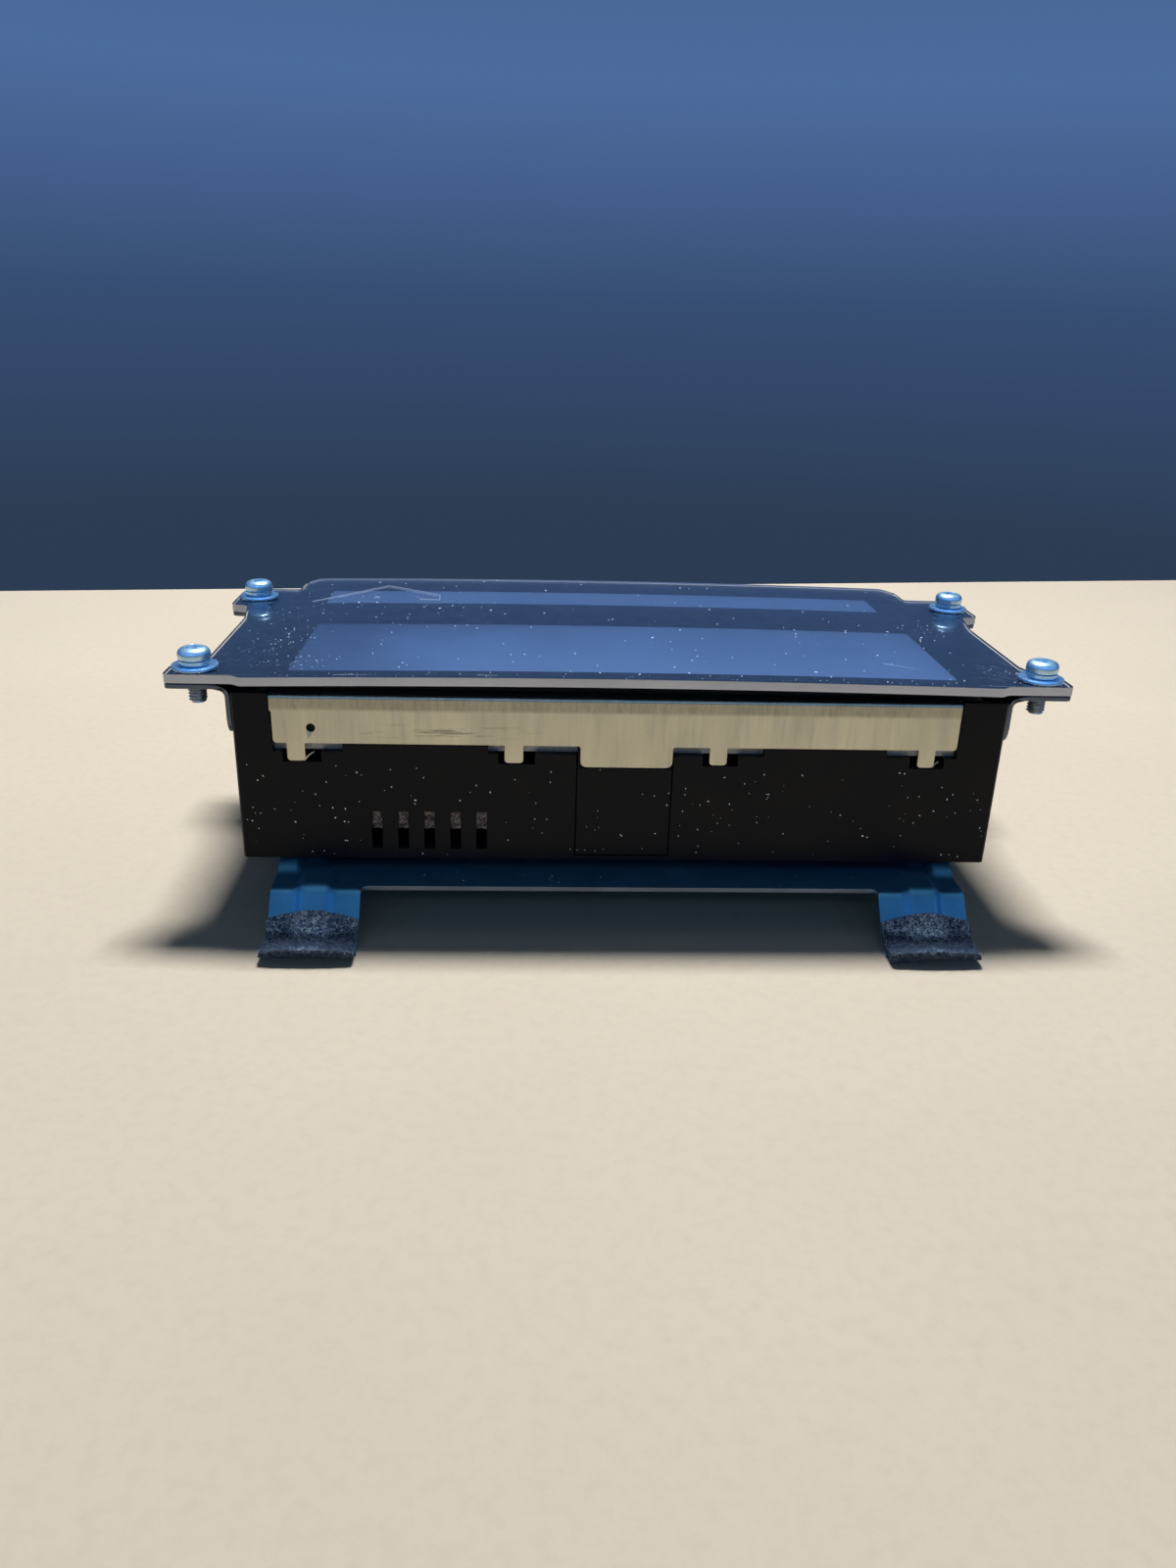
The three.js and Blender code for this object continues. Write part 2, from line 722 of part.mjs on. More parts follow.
// A sheet between two offsets above the pressed surface, over a grid of places.
function pressedSheet(path, xs, low, high) {
  const positions = [];
  const indices = [];
  const across = xs.length;
  const layer = (offset) =>
    path.forEach(([y, z, ny, nz]) =>
      xs.forEach((x) => {
        const rise = legRise(THREE.MathUtils.clamp(x, FOOT_X0, FOOT_X1), y) + offset;
        positions.push(x, y + ny * rise, z + nz * rise);
      }),
    );
  layer(low);
  layer(high);
  const size = path.length * across;
  const quad = (a, b, c, d) => indices.push(a, b, c, a, c, d);
  const last = path.length - 1;
  for (let i = 0; i < last; i++) {
    const row = i * across;
    for (let j = 0; j < across - 1; j++) {
      const a = row + j;
      quad(a, a + across, a + across + 1, a + 1);
      quad(size + a, size + a + 1, size + a + across + 1, size + a + across);
    }
    const end = row + across - 1;
    quad(row, size + row, size + row + across, row + across);
    quad(end, end + across, size + end + across, size + end);
  }
  for (let j = 0; j < across - 1; j++) {
    const far = last * across + j;
    quad(j, j + 1, size + j + 1, size + j);
    quad(far, size + far, size + far + 1, far + 1);
  }
  const geometry = new THREE.BufferGeometry();
  geometry.setAttribute("position", new THREE.Float32BufferAttribute(positions, 3));
  geometry.setIndex(indices);
  return geometry;
}

function mirrored(geometry, sx, sy) {
  const copy = geometry.clone().scale(sx, sy, 1);
  if (sx * sy < 0) {
    const index = copy.index.array;
    for (let i = 0; i < index.length; i += 3) {
      [index[i + 1], index[i + 2]] = [index[i + 2], index[i + 1]];
    }
  }
  return copy;
}

const QUARTERS = [
  { tag: "front_left", sx: -1, sy: 1 },
  { tag: "front_right", sx: 1, sy: 1 },
  { tag: "rear_left", sx: -1, sy: -1 },
  { tag: "rear_right", sx: 1, sy: -1 },
];

function bracket() {
  const r = 2;
  const x = FOOT_X0;
  const y = WEB_FRONT;
  const web = roundedOutline([
    [-x - 0.5, -y - r],
    [-x, -y - r],
    [-x, -y, r],
    [x, -y, r],
    [x, -y - r],
    [x + 0.5, -y - r],
    [x + 0.5, y + r],
    [x, y + r],
    [x, y, r],
    [-x, y, r],
    [-x, y + r],
    [-x - 0.5, y + r],
  ]);
  web.holes.push(rectangle(-46, 46, -34, 34, 5));
  const legs = QUARTERS.map(({ sx, sy }) => {
    const leg = pressedSheet(frontLegPath(), LEG_XS, -STEEL, 0);
    return mirrored(leg, sx, sy);
  });
  const rails = [-1, 1].map((side) => {
    const x0 = side > 0 ? FOOT_X0 : -FOOT_X1;
    return block(x0, x0 + FOOT_X1 - FOOT_X0, -20.5, 20.5, WEB_TOP - STEEL, WEB_TOP);
  });
  const holes = both([-1, 1], (end, side) =>
    bar(M3_HOLE_R, side * BRACKET_SCREW_X, end * BRACKET_SCREW_Y, 5, 15, 16),
  );
  return cut(joined([slab(web, WEB_TOP - STEEL, WEB_TOP), ...legs, ...rails]), holes);
}

function footPad() {
  const path = frontLegPath().filter(([y, z]) => y < -SLOPE_START && z <= PAD_TOP);
  path[0] = [-FOOT_TIP - 0.2, STEEL, 0, 1];
  const xs = [57.6, 62, 64.6, 69.9, 72.5, 77.1];
  return pressedSheet(path, xs, GAP, GAP + PAD_THICK);
}

// ---- put the pieces together ----
const NEAR_BLACK = 0x141518;
add("front_lens", lens(), 0x10141c, 0.08, 0);
add("lens_mask_print", lensMask(), 0x08090b, 0.5, 0);
add("main_window_gasket", gasket(MAIN_WINDOW), 0x1b1b1c, 0.9, 0);
add("strip_window_gasket", gasket(STRIP_WINDOW), 0x1b1b1c, 0.9, 0);

add("left_side_bracket", sideBracket(-1), 0x4a4d50, 0.4, 0.9);
add("right_side_bracket", sideBracket(1), 0x4a4d50, 0.4, 0.9);

SIDE_SCREW_YS.forEach((y, i) => {
  [-1, 1].forEach((side) => {
    const name = "side_screw_" + (side < 0 ? "left_" : "right_") + (i ? "rear" : "front");
    const screw = add(name, panScrew(M3_R, 6, 2.8, 1.8, 9), 0xb9c0c4, 0.3, 0.95);
    screw.position.set(side * (FLANGE_X + STEEL + 0.1), y, SIDE_SCREW_Z);
    screw.rotation.y = side * (Math.PI / 2);
  });
});

CORNERS.forEach(({ tag, x, y }) => {
  const stack = new THREE.Group();
  stack.position.set(x, y, 0);
  group.add(stack);
  const screw = panScrew(THREAD_R, SCREW_LENGTH, HEAD_R, HEAD_HIGH, 16);
  add("corner_screw_" + tag, screw, 0xb9c6d0, 0.22, 1, stack).position.z = HEAD_LOW;
  const lock = splitRing(SPRING_R, HOLE_R, SPRING_LOW, SPRING_LOW + SPRING_THICK);
  add("spring_washer_" + tag, lock, 0xaab6bf, 0.3, 1, stack);
  const flat = ring(WASHER_R, HOLE_R, WASHER_LOW, WASHER_LOW + WASHER_THICK);
  add("flat_washer_" + tag, flat, 0xb4c0c9, 0.25, 1, stack);
});

add("housing", boxShell(), NEAR_BLACK, 0.55, 0);
add("front_center_cover", centreCover(), NEAR_BLACK, 0.55, 0);
add("vent_felt", block(-58.5, -28, -43.4, -41.8, 18.9, 25.6), 0x6d655c, 0.95, 0);

add("lcd_front_frame", frontFrame(), 0xb7ab92, 0.38, 0.9);
add("lcd_rear_frame", rearFrame(), 0x8ea3b4, 0.35, 0.95);
add("main_lcd_panel", panel(-42.3, 1.6), 0x2c3848, 0.2, 0);
add("strip_lcd_panel", panel(18, 37), 0x2c3848, 0.2, 0);
add("main_light_guide", lightGuide(-42.3, 1.6), 0xdfe4e2, 0.3, 0);
add("strip_light_guide", lightGuide(18, 37), 0xdfe4e2, 0.3, 0);
add("led_bar", ledBar(), 0xd8d8d0, 0.5, 0);

add("main_board", mainBoard(), 0x1f5a38, 0.5, 0);
add("main_processor", chip(-20, -8, 22, 22, 1.6), 0x17181a, 0.5, 0);
add("memory_chip", chip(8, -10, 10, 14, 1.2), 0x17181a, 0.5, 0);
add("voltage_regulator", chip(-58, 12, 10, 9, 4), 0x202124, 0.5, 0);
add("power_inductor", chip(-42, 14, 12, 12, 6), 0x3a3a3c, 0.7, 0.1);
const capacitors = [
  ["input_capacitor", -60, -4],
  ["output_capacitor", -46, -6],
];
capacitors.forEach(([name, x, y]) => {
  add(name, capacitor(4, 8.5), 0x9aa0a6, 0.35, 0.7).position.set(x, y, BOARD_TOP);
});
add("left_connector_socket", socket(), 0xd9d4c4, 0.5, 0).position.set(-SOCKET_X, 0, BOARD_TOP);
add("right_connector_socket", socket(), 0x3a3c40, 0.5, 0).position.set(SOCKET_X, 0, BOARD_TOP);
add("ribbon_cable", ribbon(), 0xb5651d, 0.5, 0);
add("ribbon_connector", ribbonConnector(), 0xe6e2d6, 0.5, 0);

[-1, 1].forEach((end) => {
  [-1, 1].forEach((side) => {
    const place = (end < 0 ? "front_" : "rear_") + (side < 0 ? "left" : "right");
    const small = panScrew(M3_R, 6, 2.8, 1.8, 9);
    const board = add("board_screw_" + place, small, 0xb9c0c4, 0.3, 0.95);
    board.position.set(side * POST_X, end * POST_Y, BOARD_TOP - GAP + 0.1);
    const long = panScrew(M3_R, 8, 2.8, 1.8, 9);
    const under = add("bracket_screw_" + place, long, 0xb9c0c4, 0.3, 0.95);
    const low = WEB_TOP + EAR_STEP - STEEL - 0.1;
    under.position.set(side * BRACKET_SCREW_X, end * BRACKET_SCREW_Y, low);
    under.rotation.x = Math.PI;
  });
});

add("rear_cover", rearCover(), 0x191a1c, 0.6, 0);
add("mounting_bracket", bracket(), 0x6f8ba3, 0.3, 1);
QUARTERS.forEach(({ tag, sx, sy }) => {
  add("foot_pad_" + tag, mirrored(footPad(), sx, sy), 0x26272b, 0.95, 0);
});

export default group;
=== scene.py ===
import json
import math
import random
from contextlib import contextmanager

import bmesh
import bpy
from mathutils import Matrix, Vector, noise

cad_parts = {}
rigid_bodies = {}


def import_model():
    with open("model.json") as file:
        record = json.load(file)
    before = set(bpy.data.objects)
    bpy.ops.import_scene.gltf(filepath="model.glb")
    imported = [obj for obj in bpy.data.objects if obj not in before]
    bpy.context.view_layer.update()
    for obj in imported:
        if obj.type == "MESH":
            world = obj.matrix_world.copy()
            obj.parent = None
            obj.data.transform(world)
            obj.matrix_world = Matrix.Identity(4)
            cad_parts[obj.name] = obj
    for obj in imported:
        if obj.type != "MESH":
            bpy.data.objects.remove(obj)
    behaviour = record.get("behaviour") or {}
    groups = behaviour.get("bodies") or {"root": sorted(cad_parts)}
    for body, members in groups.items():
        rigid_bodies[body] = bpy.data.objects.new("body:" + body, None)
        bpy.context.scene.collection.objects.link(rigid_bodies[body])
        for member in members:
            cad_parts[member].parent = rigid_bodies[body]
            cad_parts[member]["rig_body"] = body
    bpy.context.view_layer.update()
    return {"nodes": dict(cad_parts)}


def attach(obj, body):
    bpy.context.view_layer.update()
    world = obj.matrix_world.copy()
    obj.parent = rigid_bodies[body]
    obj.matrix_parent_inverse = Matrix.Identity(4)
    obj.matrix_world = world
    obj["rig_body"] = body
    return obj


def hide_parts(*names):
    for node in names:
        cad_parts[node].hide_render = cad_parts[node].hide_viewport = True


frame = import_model()

MM = 0.001
NODES = frame["nodes"]
SCENE = bpy.context.scene
SCENE.view_settings.view_transform = "Standard"

# ---- the frame's dimensions, in mm ----
LENS_TOP, LENS_LOW, EAR_TOP = 55.5, 53.5, 53.2
LENS_BOW, BOW_X, BOW_SLICES = 0.85, 83.0, 26
BOX_FRONT = -45.75
SKIRT_FRONT, SKIRT_LOW = -46.15, 40.3
WIDE_TAB_LOW, TAB_LOW = 35.4, 36.2
FRAME_TOP, FRAME_SHEET = 51.3, 0.6
MAIN_WINDOW = (-73.5, 74.5, -40.5, -1.0)
STRIP_WINDOW = (-75.0, 73.0, 20.6, 34.2)
SCREW_X, FRONT_Y, REAR_Y = 93.0, -41.0, 23.5
WASHER_LOW, SPRING_LOW, HEAD_LOW = 55.6, 56.5, 57.6
SHANK_LONG, HOLE_R = 9.6, 2.3
BRACKET_SCREW = (73.6, 38)
SIDE_SCREW_Y = (-15, 28)
STEEL = 1.0
WEB_TOP, WEB_FRONT = 10.3, 55.25
FOOT_X0, FOOT_X1 = 57.5, 77.0
SLOPE_START, SLOPE_DEG, BEND_R, TOE_R = 55.9, 50.0, 2.5, 4.0
TOE_FLAT = -67.9
RIB_HIGH, EAR_STEP = 1.35, 1.9
PAD_GAP, PAD_THICK, PAD_TOP = 0.3, 1.5, 5.4


# ---- camera ----
def place_camera():
    pitch, yaw, roll = (math.radians(a) for a in (22.3, 3.06, 1.77))
    ahead0 = Vector((math.sin(yaw), math.cos(yaw), 0))
    right0 = Vector((math.cos(yaw), -math.sin(yaw), 0))
    up0 = Vector((0, 0, 1))
    ahead = math.cos(pitch) * ahead0 - math.sin(pitch) * up0
    up = math.cos(pitch) * up0 + math.sin(pitch) * ahead0
    right = math.cos(roll) * right0 + math.sin(roll) * up
    above = -math.sin(roll) * right0 + math.cos(roll) * up
    data = bpy.data.cameras.new("photo_camera")
    data.lens = 27.05
    data.sensor_width = 36.0
    data.clip_start = 0.005
    data.clip_end = 50.0
    camera = bpy.data.objects.new("photo_camera", data)
    SCENE.collection.objects.link(camera)
    turn = Matrix((right, above, -ahead)).transposed().to_4x4()
    camera.matrix_world = Matrix.Translation((-0.0207, -0.28885, 0.1311)) @ turn
    SCENE.camera = camera


place_camera()


# ---- node helpers ----
class Nodes:
    """A node tree under construction: each call adds one node and gives its output."""

    def __init__(self, tree):
        self.tree = tree

    def wire(self, socket, value):
        """Links a socket to this one or sets it; three numbers on a colour socket are opaque."""
        if isinstance(value, bpy.types.NodeSocket):
            self.tree.links.new(value, socket)
        elif socket.type == "RGBA" and len(value) == 3:
            socket.default_value = (*value, 1.0)
        else:
            socket.default_value = value

    def node(self, kind, **settings):
        made = self.tree.nodes.new(kind)
        for key, value in settings.items():
            setattr(made, key, value)
        return made

    def feed(self, made, **inputs):
        for key, value in inputs.items():
            self.wire(made.inputs[key.replace("_", " ")], value)
        return made

    def maths(self, operation, a, b=0.0):
        made = self.node("ShaderNodeMath", operation=operation)
        self.wire(made.inputs[0], a)
        self.wire(made.inputs[1], b)
        return made.outputs[0]

    def times(self, a, b):
        return self.maths("MULTIPLY", a, b)

    def mix(self, share, a, b, blend="MIX"):
        made = self.node("ShaderNodeMix", data_type="RGBA", blend_type=blend)
        for number, value in ((0, share), (6, a), (7, b)):
            self.wire(made.inputs[number], value)
        return made.outputs[2]

    def range(self, value, from0, from1, to0=0.0, to1=1.0):
        made = self.node("ShaderNodeMapRange", clamp=True)
        self.feed(made, Value=value, From_Min=from0, From_Max=from1, To_Min=to0, To_Max=to1)
        return made.outputs[0]

    def ramp(self, value, stops):
        made = self.node("ShaderNodeValToRGB")
        elements = made.color_ramp.elements
        while len(elements) < len(stops):
            elements.new(0.5)
        for element, (place, colour) in zip(elements, stops):
            element.position, element.color = place, (*colour, 1.0)
        self.wire(made.inputs[0], value)
        return made.outputs[0]


class Look(Nodes):
    """A material; its uniform values go on the shader's own sockets."""

    def __init__(self, name, colour, roughness, metallic=0.0, **uniform):
        self.mat = bpy.data.materials.new(name)
        self.mat.use_nodes = True
        super().__init__(self.mat.node_tree)
        self.shader = next(n for n in self.tree.nodes if n.type == "BSDF_PRINCIPLED")
        self.set("Base Color", colour)
        self.feed(self.shader, Roughness=roughness, Metallic=metallic, **uniform)
        self.where = self.node("ShaderNodeTexCoord").outputs["Object"]

    def set(self, socket, value):
        self.wire(self.shader.inputs[socket], value)

    def at(self, sx=1.0, sy=1.0, sz=1.0, move=(0, 0, 0)):
        """Object coordinates in millimetres, stretched by each factor."""
        made = self.node("ShaderNodeMapping")
        self.feed(made, Vector=self.where, Location=move, Scale=(sx / MM, sy / MM, sz / MM))
        return made.outputs[0]

    def noise(self, scale, detail=3.0, rough=0.55, vector=None, distort=0.0):
        made = self.node("ShaderNodeTexNoise")
        self.feed(made, Vector=vector or self.at(), Scale=scale, Detail=detail, Roughness=rough, Distortion=distort)
        return made.outputs["Fac"]

    def cells(self, scale, vector=None, feature="F1", jitter=1.0):
        made = self.node("ShaderNodeTexVoronoi", feature=feature)
        self.feed(made, Vector=vector or self.at(), Scale=scale, Randomness=jitter)
        return made.outputs["Distance"]

    def part(self, axis):
        """One coordinate in millimetres."""
        return self.feed(self.node("ShaderNodeSeparateXYZ"), Vector=self.at()).outputs[axis]

    def bump(self, height, distance, strength=1.0):
        """Adds relief over any relief already there; distance is in millimetres."""
        made = self.node("ShaderNodeBump")
        self.feed(made, Height=height, Distance=distance * MM, Strength=strength)
        for link in self.shader.inputs["Normal"].links:
            self.wire(made.inputs["Normal"], link.from_socket)
        self.set("Normal", made.outputs[0])


def lighten(colour, by):
    return tuple(min(1.0, c * by) for c in colour)


def simple(name, colour, roughness, metallic=0.0, tint=0.15, tint_scale=0.08, grain=1.4, relief=0.02, **uniform):
    """Colour and gloss that drift over the surface, with a fine relief."""
    look = Look(name, colour, roughness, metallic, **uniform)
    drift = look.noise(tint_scale, 4)
    look.set("Base Color", look.mix(drift, lighten(colour, 1 - tint), lighten(colour, 1 + tint)))
    patch = look.noise(tint_scale * 3.1, 5, 0.6)
    look.set("Roughness", look.range(patch, 0.3, 0.7, roughness - 0.08, roughness + 0.08))
    look.bump(look.noise(grain, 2), relief)
    return look


# ---- materials ----
def plated(name, colour, roughness, spot=0.35, metallic=1.0, **uniform):
    """Zinc plate: soft mottling, faint spangle, fine scuffs and a few dull freckles."""
    look = Look(name, colour, roughness, metallic, **uniform)
    cloud = look.noise(0.12, 5, 0.6)
    base = look.mix(look.range(cloud, 0.35, 0.65), lighten(colour, 0.88), lighten(colour, 1.10))
    freckle = look.range(look.noise(1.9, 3, 0.7), 0.70, 0.78, 0.0, spot)
    look.set("Base Color", look.mix(freckle, base, lighten(colour, 0.55)))
    fine = look.noise(0.9, 4, 0.65)
    look.set("Roughness", look.range(fine, 0.3, 0.75, roughness - 0.04, roughness + 0.06))
    look.bump(look.noise(2.6, 3), 0.0015)
    return look


def make_lens():
    look = Look("lens_acrylic", (0.80, 0.85, 0.92), 0.04, 0.0, IOR=1.33, Transmission_Weight=1.0)
    haze = look.noise(0.05, 3, 0.5)
    look.set("Roughness", look.range(haze, 0.35, 0.7, 0.03, 0.06))
    look.bump(look.noise(2.4, 2, 0.5), 0.00012, 0.3)
    return look


def make_lens_edge():
    colour = (0.74, 0.76, 0.83)
    look = Look("lens_sawn_edge", colour, 0.42, 0.0, IOR=1.49)
    lines = look.noise(1.4, 4, 0.7, look.at(0.35, 0.35, 3.5))
    drift = look.noise(0.06, 3)
    base = look.mix(drift, lighten(colour, 0.72), lighten(colour, 1.35))
    look.set("Base Color", look.mix(look.range(lines, 0.4, 0.7, 0.0, 0.5), base, (0.80, 0.76, 0.78)))
    look.set("Roughness", look.range(lines, 0.3, 0.7, 0.30, 0.55))
    look.bump(lines, 0.03)
    return look


def make_housing(name, colour, roughness):
    look = Look(name, colour, roughness, 0.0, Specular_IOR_Level=0.14)
    cloud = look.noise(0.05, 4, 0.6)
    rub = look.range(look.noise(0.35, 5, 0.7, look.at(0.4, 1.0, 1.4)), 0.58, 0.78, 0.0, 0.6)
    base = look.mix(cloud, lighten(colour, 0.8), lighten(colour, 1.3))
    look.set("Base Color", look.mix(rub, base, lighten(colour, 2.0)))
    look.set("Roughness", look.range(cloud, 0.3, 0.7, roughness - 0.06, roughness + 0.08))
    look.bump(look.cells(3.4), 0.012, 0.6)
    look.bump(look.noise(0.02, 2), 0.15, 0.35)
    return look


def make_frame_metal():
    """Bare drawn sheet: fine upright grain, a rubbed dark band at its top and scratches at the left."""
    colour = (0.555, 0.53, 0.405)
    look = Look("bare_frame_metal", colour, 0.34, 1.0, Anisotropic=0.4)
    streak = look.noise(0.55, 5, 0.7, look.at(1.8, 1.0, 0.10))
    wide = look.noise(0.10, 4, 0.6, look.at(1.0, 1.0, 0.35))
    base = look.mix(look.range(wide, 0.3, 0.7), lighten(colour, 0.88), lighten(colour, 1.08))
    base = look.mix(look.range(streak, 0.50, 0.72, 0.0, 0.30), base, lighten(colour, 0.72))
    z = look.part("Z")
    stroke = look.noise(0.8, 5, 0.8, look.at(1.3, 1.0, 0.30))
    wave = look.times(look.noise(0.9, 4, 0.8, look.at(1.4, 1.0, 0.04)), 0.6)
    edge = look.maths("ADD", z, wave)
    band = look.times(look.range(edge, 47.9, 48.7, 0.0, 0.8), look.range(wide, 0.25, 0.6, 0.55))
    dirt = look.mix(look.range(stroke, 0.34, 0.60), lighten(colour, 0.38), lighten(colour, 0.60))
    base = look.mix(band, base, dirt)
    rub = look.noise(1.6, 5, 0.75, look.at(0.055))
    near = look.range(look.maths("ABSOLUTE", look.maths("SUBTRACT", z, 43.3)), 0.5, 1.9, 1.0, 0.0)
    left = look.range(look.maths("ABSOLUTE", look.maths("ADD", look.part("X"), 40.0)), 12.0, 26.0, 1.0, 0.0)
    rub = look.times(look.range(rub, 0.55, 0.60, 0.0, 0.6), look.times(near, left))
    base = look.mix(rub, base, lighten(colour, 0.25))
    spot = look.range(look.noise(0.8, 3, 0.7), 0.70, 0.76, 0.0, 0.5)
    look.set("Base Color", look.mix(spot, base, lighten(colour, 0.5)))
    look.set("Roughness", look.range(streak, 0.3, 0.7, 0.26, 0.46))
    grain = look.noise(3.0, 3, 0.6, look.at(1.0, 1.0, 0.06))
    look.bump(grain, 0.012)
    return look


def make_felt(name, colour, speck, sheen, shade=(90.0, 99.0)):
    """Mottled felt; its last argument gives the heights in mm between which its colour is multiplied darker, a painted
    shade on the felt's low edge.
    """
    look = Look(
        name, colour, 0.95, Sheen_Weight=0.30, Sheen_Roughness=0.5, Sheen_Tint=sheen, Specular_IOR_Level=0.12
    )
    strand = look.noise(1.3, 4, 0.75, distort=1.2)
    clump = look.noise(0.45, 4, 0.6)
    base = look.mix(clump, lighten(colour, 0.45), lighten(colour, 1.6))
    base = look.mix(look.range(strand, 0.48, 0.40, 0.0, 0.95), base, lighten(colour, 0.10))
    base = look.mix(look.range(strand, 0.51, 0.60, 0.0, 0.95), base, speck)
    height = look.maths("ADD", look.part("Z"), look.times(clump, 1.2))
    # painted shade: towards the low, free edge the felt's colour is multiplied dark, standing in for the shade at its
    # curled lip
    look.set("Base Color", look.mix(look.range(height, *shade), base, (0.13, 0.14, 0.16), "MULTIPLY"))
    look.set("Roughness", look.range(strand, 0.3, 0.7, 0.85, 1.0))
    look.bump(strand, 0.35, 1.0)
    look.bump(clump, 0.5, 0.6)
    return look


def make_board():
    """Solder mask over a grid of tracks and gold vias."""
    look = Look("circuit_board_green", (0.02, 0.13, 0.06), 0.35, 0.0, Coat_Weight=0.4)
    tracks = look.cells(0.32, look.at(1.0, 0.2, 1.0), "DISTANCE_TO_EDGE", jitter=0.0)
    cross = look.cells(0.24, look.at(0.2, 1.0, 1.0), "DISTANCE_TO_EDGE", jitter=0.3)
    line = look.maths("MAXIMUM", look.range(tracks, 0.03, 0.06, 1.0, 0.0), look.range(cross, 0.02, 0.05, 1.0, 0.0))
    vias = look.range(look.cells(0.22), 0.07, 0.09, 1.0, 0.0)
    base = look.mix(line, (0.015, 0.10, 0.045), (0.035, 0.21, 0.10))
    look.set("Base Color", look.mix(vias, base, (0.55, 0.42, 0.18)))
    look.set("Roughness", look.range(look.noise(0.4, 3), 0.3, 0.7, 0.28, 0.45))
    look.bump(line, 0.03)
    return look


def make_screw():
    """Bright zinc that is dull and brown on the threads below the ear."""
    colour = (0.52, 0.75, 0.90)
    look = Look("bright_zinc_screw", colour, 0.30, 1.0)
    cloud = look.noise(0.9, 4, 0.6)
    base = look.mix(cloud, lighten(colour, 0.80), lighten(colour, 1.15))
    z = look.part("Z")
    rust = look.range(look.noise(1.6, 4, 0.7), 0.35, 0.6, 0.35, 0.85)
    low = look.times(look.range(z, 51.2, 52.6, 1.0, 0.0), rust)
    look.set("Base Color", look.mix(low, base, (0.36, 0.26, 0.19)))
    look.set("Roughness", look.range(look.noise(2.2, 4, 0.7), 0.3, 0.75, 0.26, 0.44))
    look.bump(look.noise(3.2, 3), 0.004)
    return look


def make_smoke():
    """The translucent grey-blue print over the displays, a little uneven and wiped, with a painted light gradient that
    darkens it towards the rear and the left.
    """
    colour = (0.11, 0.19, 0.35)
    look = Look("smoked_window_print", colour, 0.34, 0.0, IOR=2.2)
    lines = look.noise(1.0, 2, 0.5, look.at(0.05, 2.6, 1.0))
    cloud = look.noise(0.03, 4, 0.55, look.at(1.0, 1.7, 1.0))
    base = look.mix(cloud, lighten(colour, 0.86), lighten(colour, 1.16))
    away = look.node("ShaderNodeVectorMath", operation="LENGTH")
    look.wire(away.inputs[0], look.at(1.0, 2.2, 1.0, (34.0, 44.0, 0.0)))
    smear = look.range(away.outputs["Value"], 6.0, 24.0, 1.0, 0.0)
    streak = look.noise(0.10, 5, 0.7, look.at(1.0, 2.4, 1.0), 1.5)
    smear = look.times(smear, look.range(streak, 0.40, 0.62, 0.0, 0.75))
    base = look.mix(smear, base, lighten(colour, 0.45))
    base = look.mix(look.range(lines, 0.45, 0.6, 0.0, 0.2), base, lighten(colour, 1.3))
    drift = look.noise(0.05, 3, 0.5, look.at(move=(9.0, 4.0, 0.0)))
    # painted light: the windows' colour and specular level run from bright at the front to dark towards the rear and
    # the left; the strip window is held at one level
    y = look.part("Y")
    window_painted_light = look.times(look.range(y, 14.0, -36.0, 0.42, 1.15), look.range(drift, 0.3, 0.7, 0.85, 1.15))
    left = look.range(look.maths("ADD", look.part("X"), look.times(drift, 30.0)), -58.0, -12.0, 0.42)
    window_painted_light = look.times(window_painted_light, left)
    narrow = look.range(y, 16.0, 18.0)
    window_painted_light = look.maths("ADD", look.times(window_painted_light, look.maths("SUBTRACT", 1.0, narrow)), look.times(narrow, 0.85))
    # the painted light gradient mixes the print towards near-black and sets its specular level
    look.set("Base Color", look.mix(window_painted_light, (0.004, 0.008, 0.02), base))
    look.set("Specular IOR Level", look.times(window_painted_light, 0.5))
    look.set("Roughness", look.range(lines, 0.3, 0.7, 0.31, 0.38))
    return look


def make_display():
    colour = (0.085, 0.150, 0.285)
    look = Look("display_polariser", colour, 0.30, 0.0, IOR=2.3)
    lines = look.noise(1.0, 2, 0.5, look.at(0.05, 2.6, 1.0))
    cloud = look.noise(0.025, 3, 0.5)
    base = look.mix(cloud, lighten(colour, 0.85), lighten(colour, 1.2))
    look.set("Base Color", look.mix(look.range(lines, 0.45, 0.6, 0.0, 0.25), base, lighten(colour, 1.35)))
    look.set("Roughness", look.range(lines, 0.3, 0.7, 0.27, 0.34))
    return look


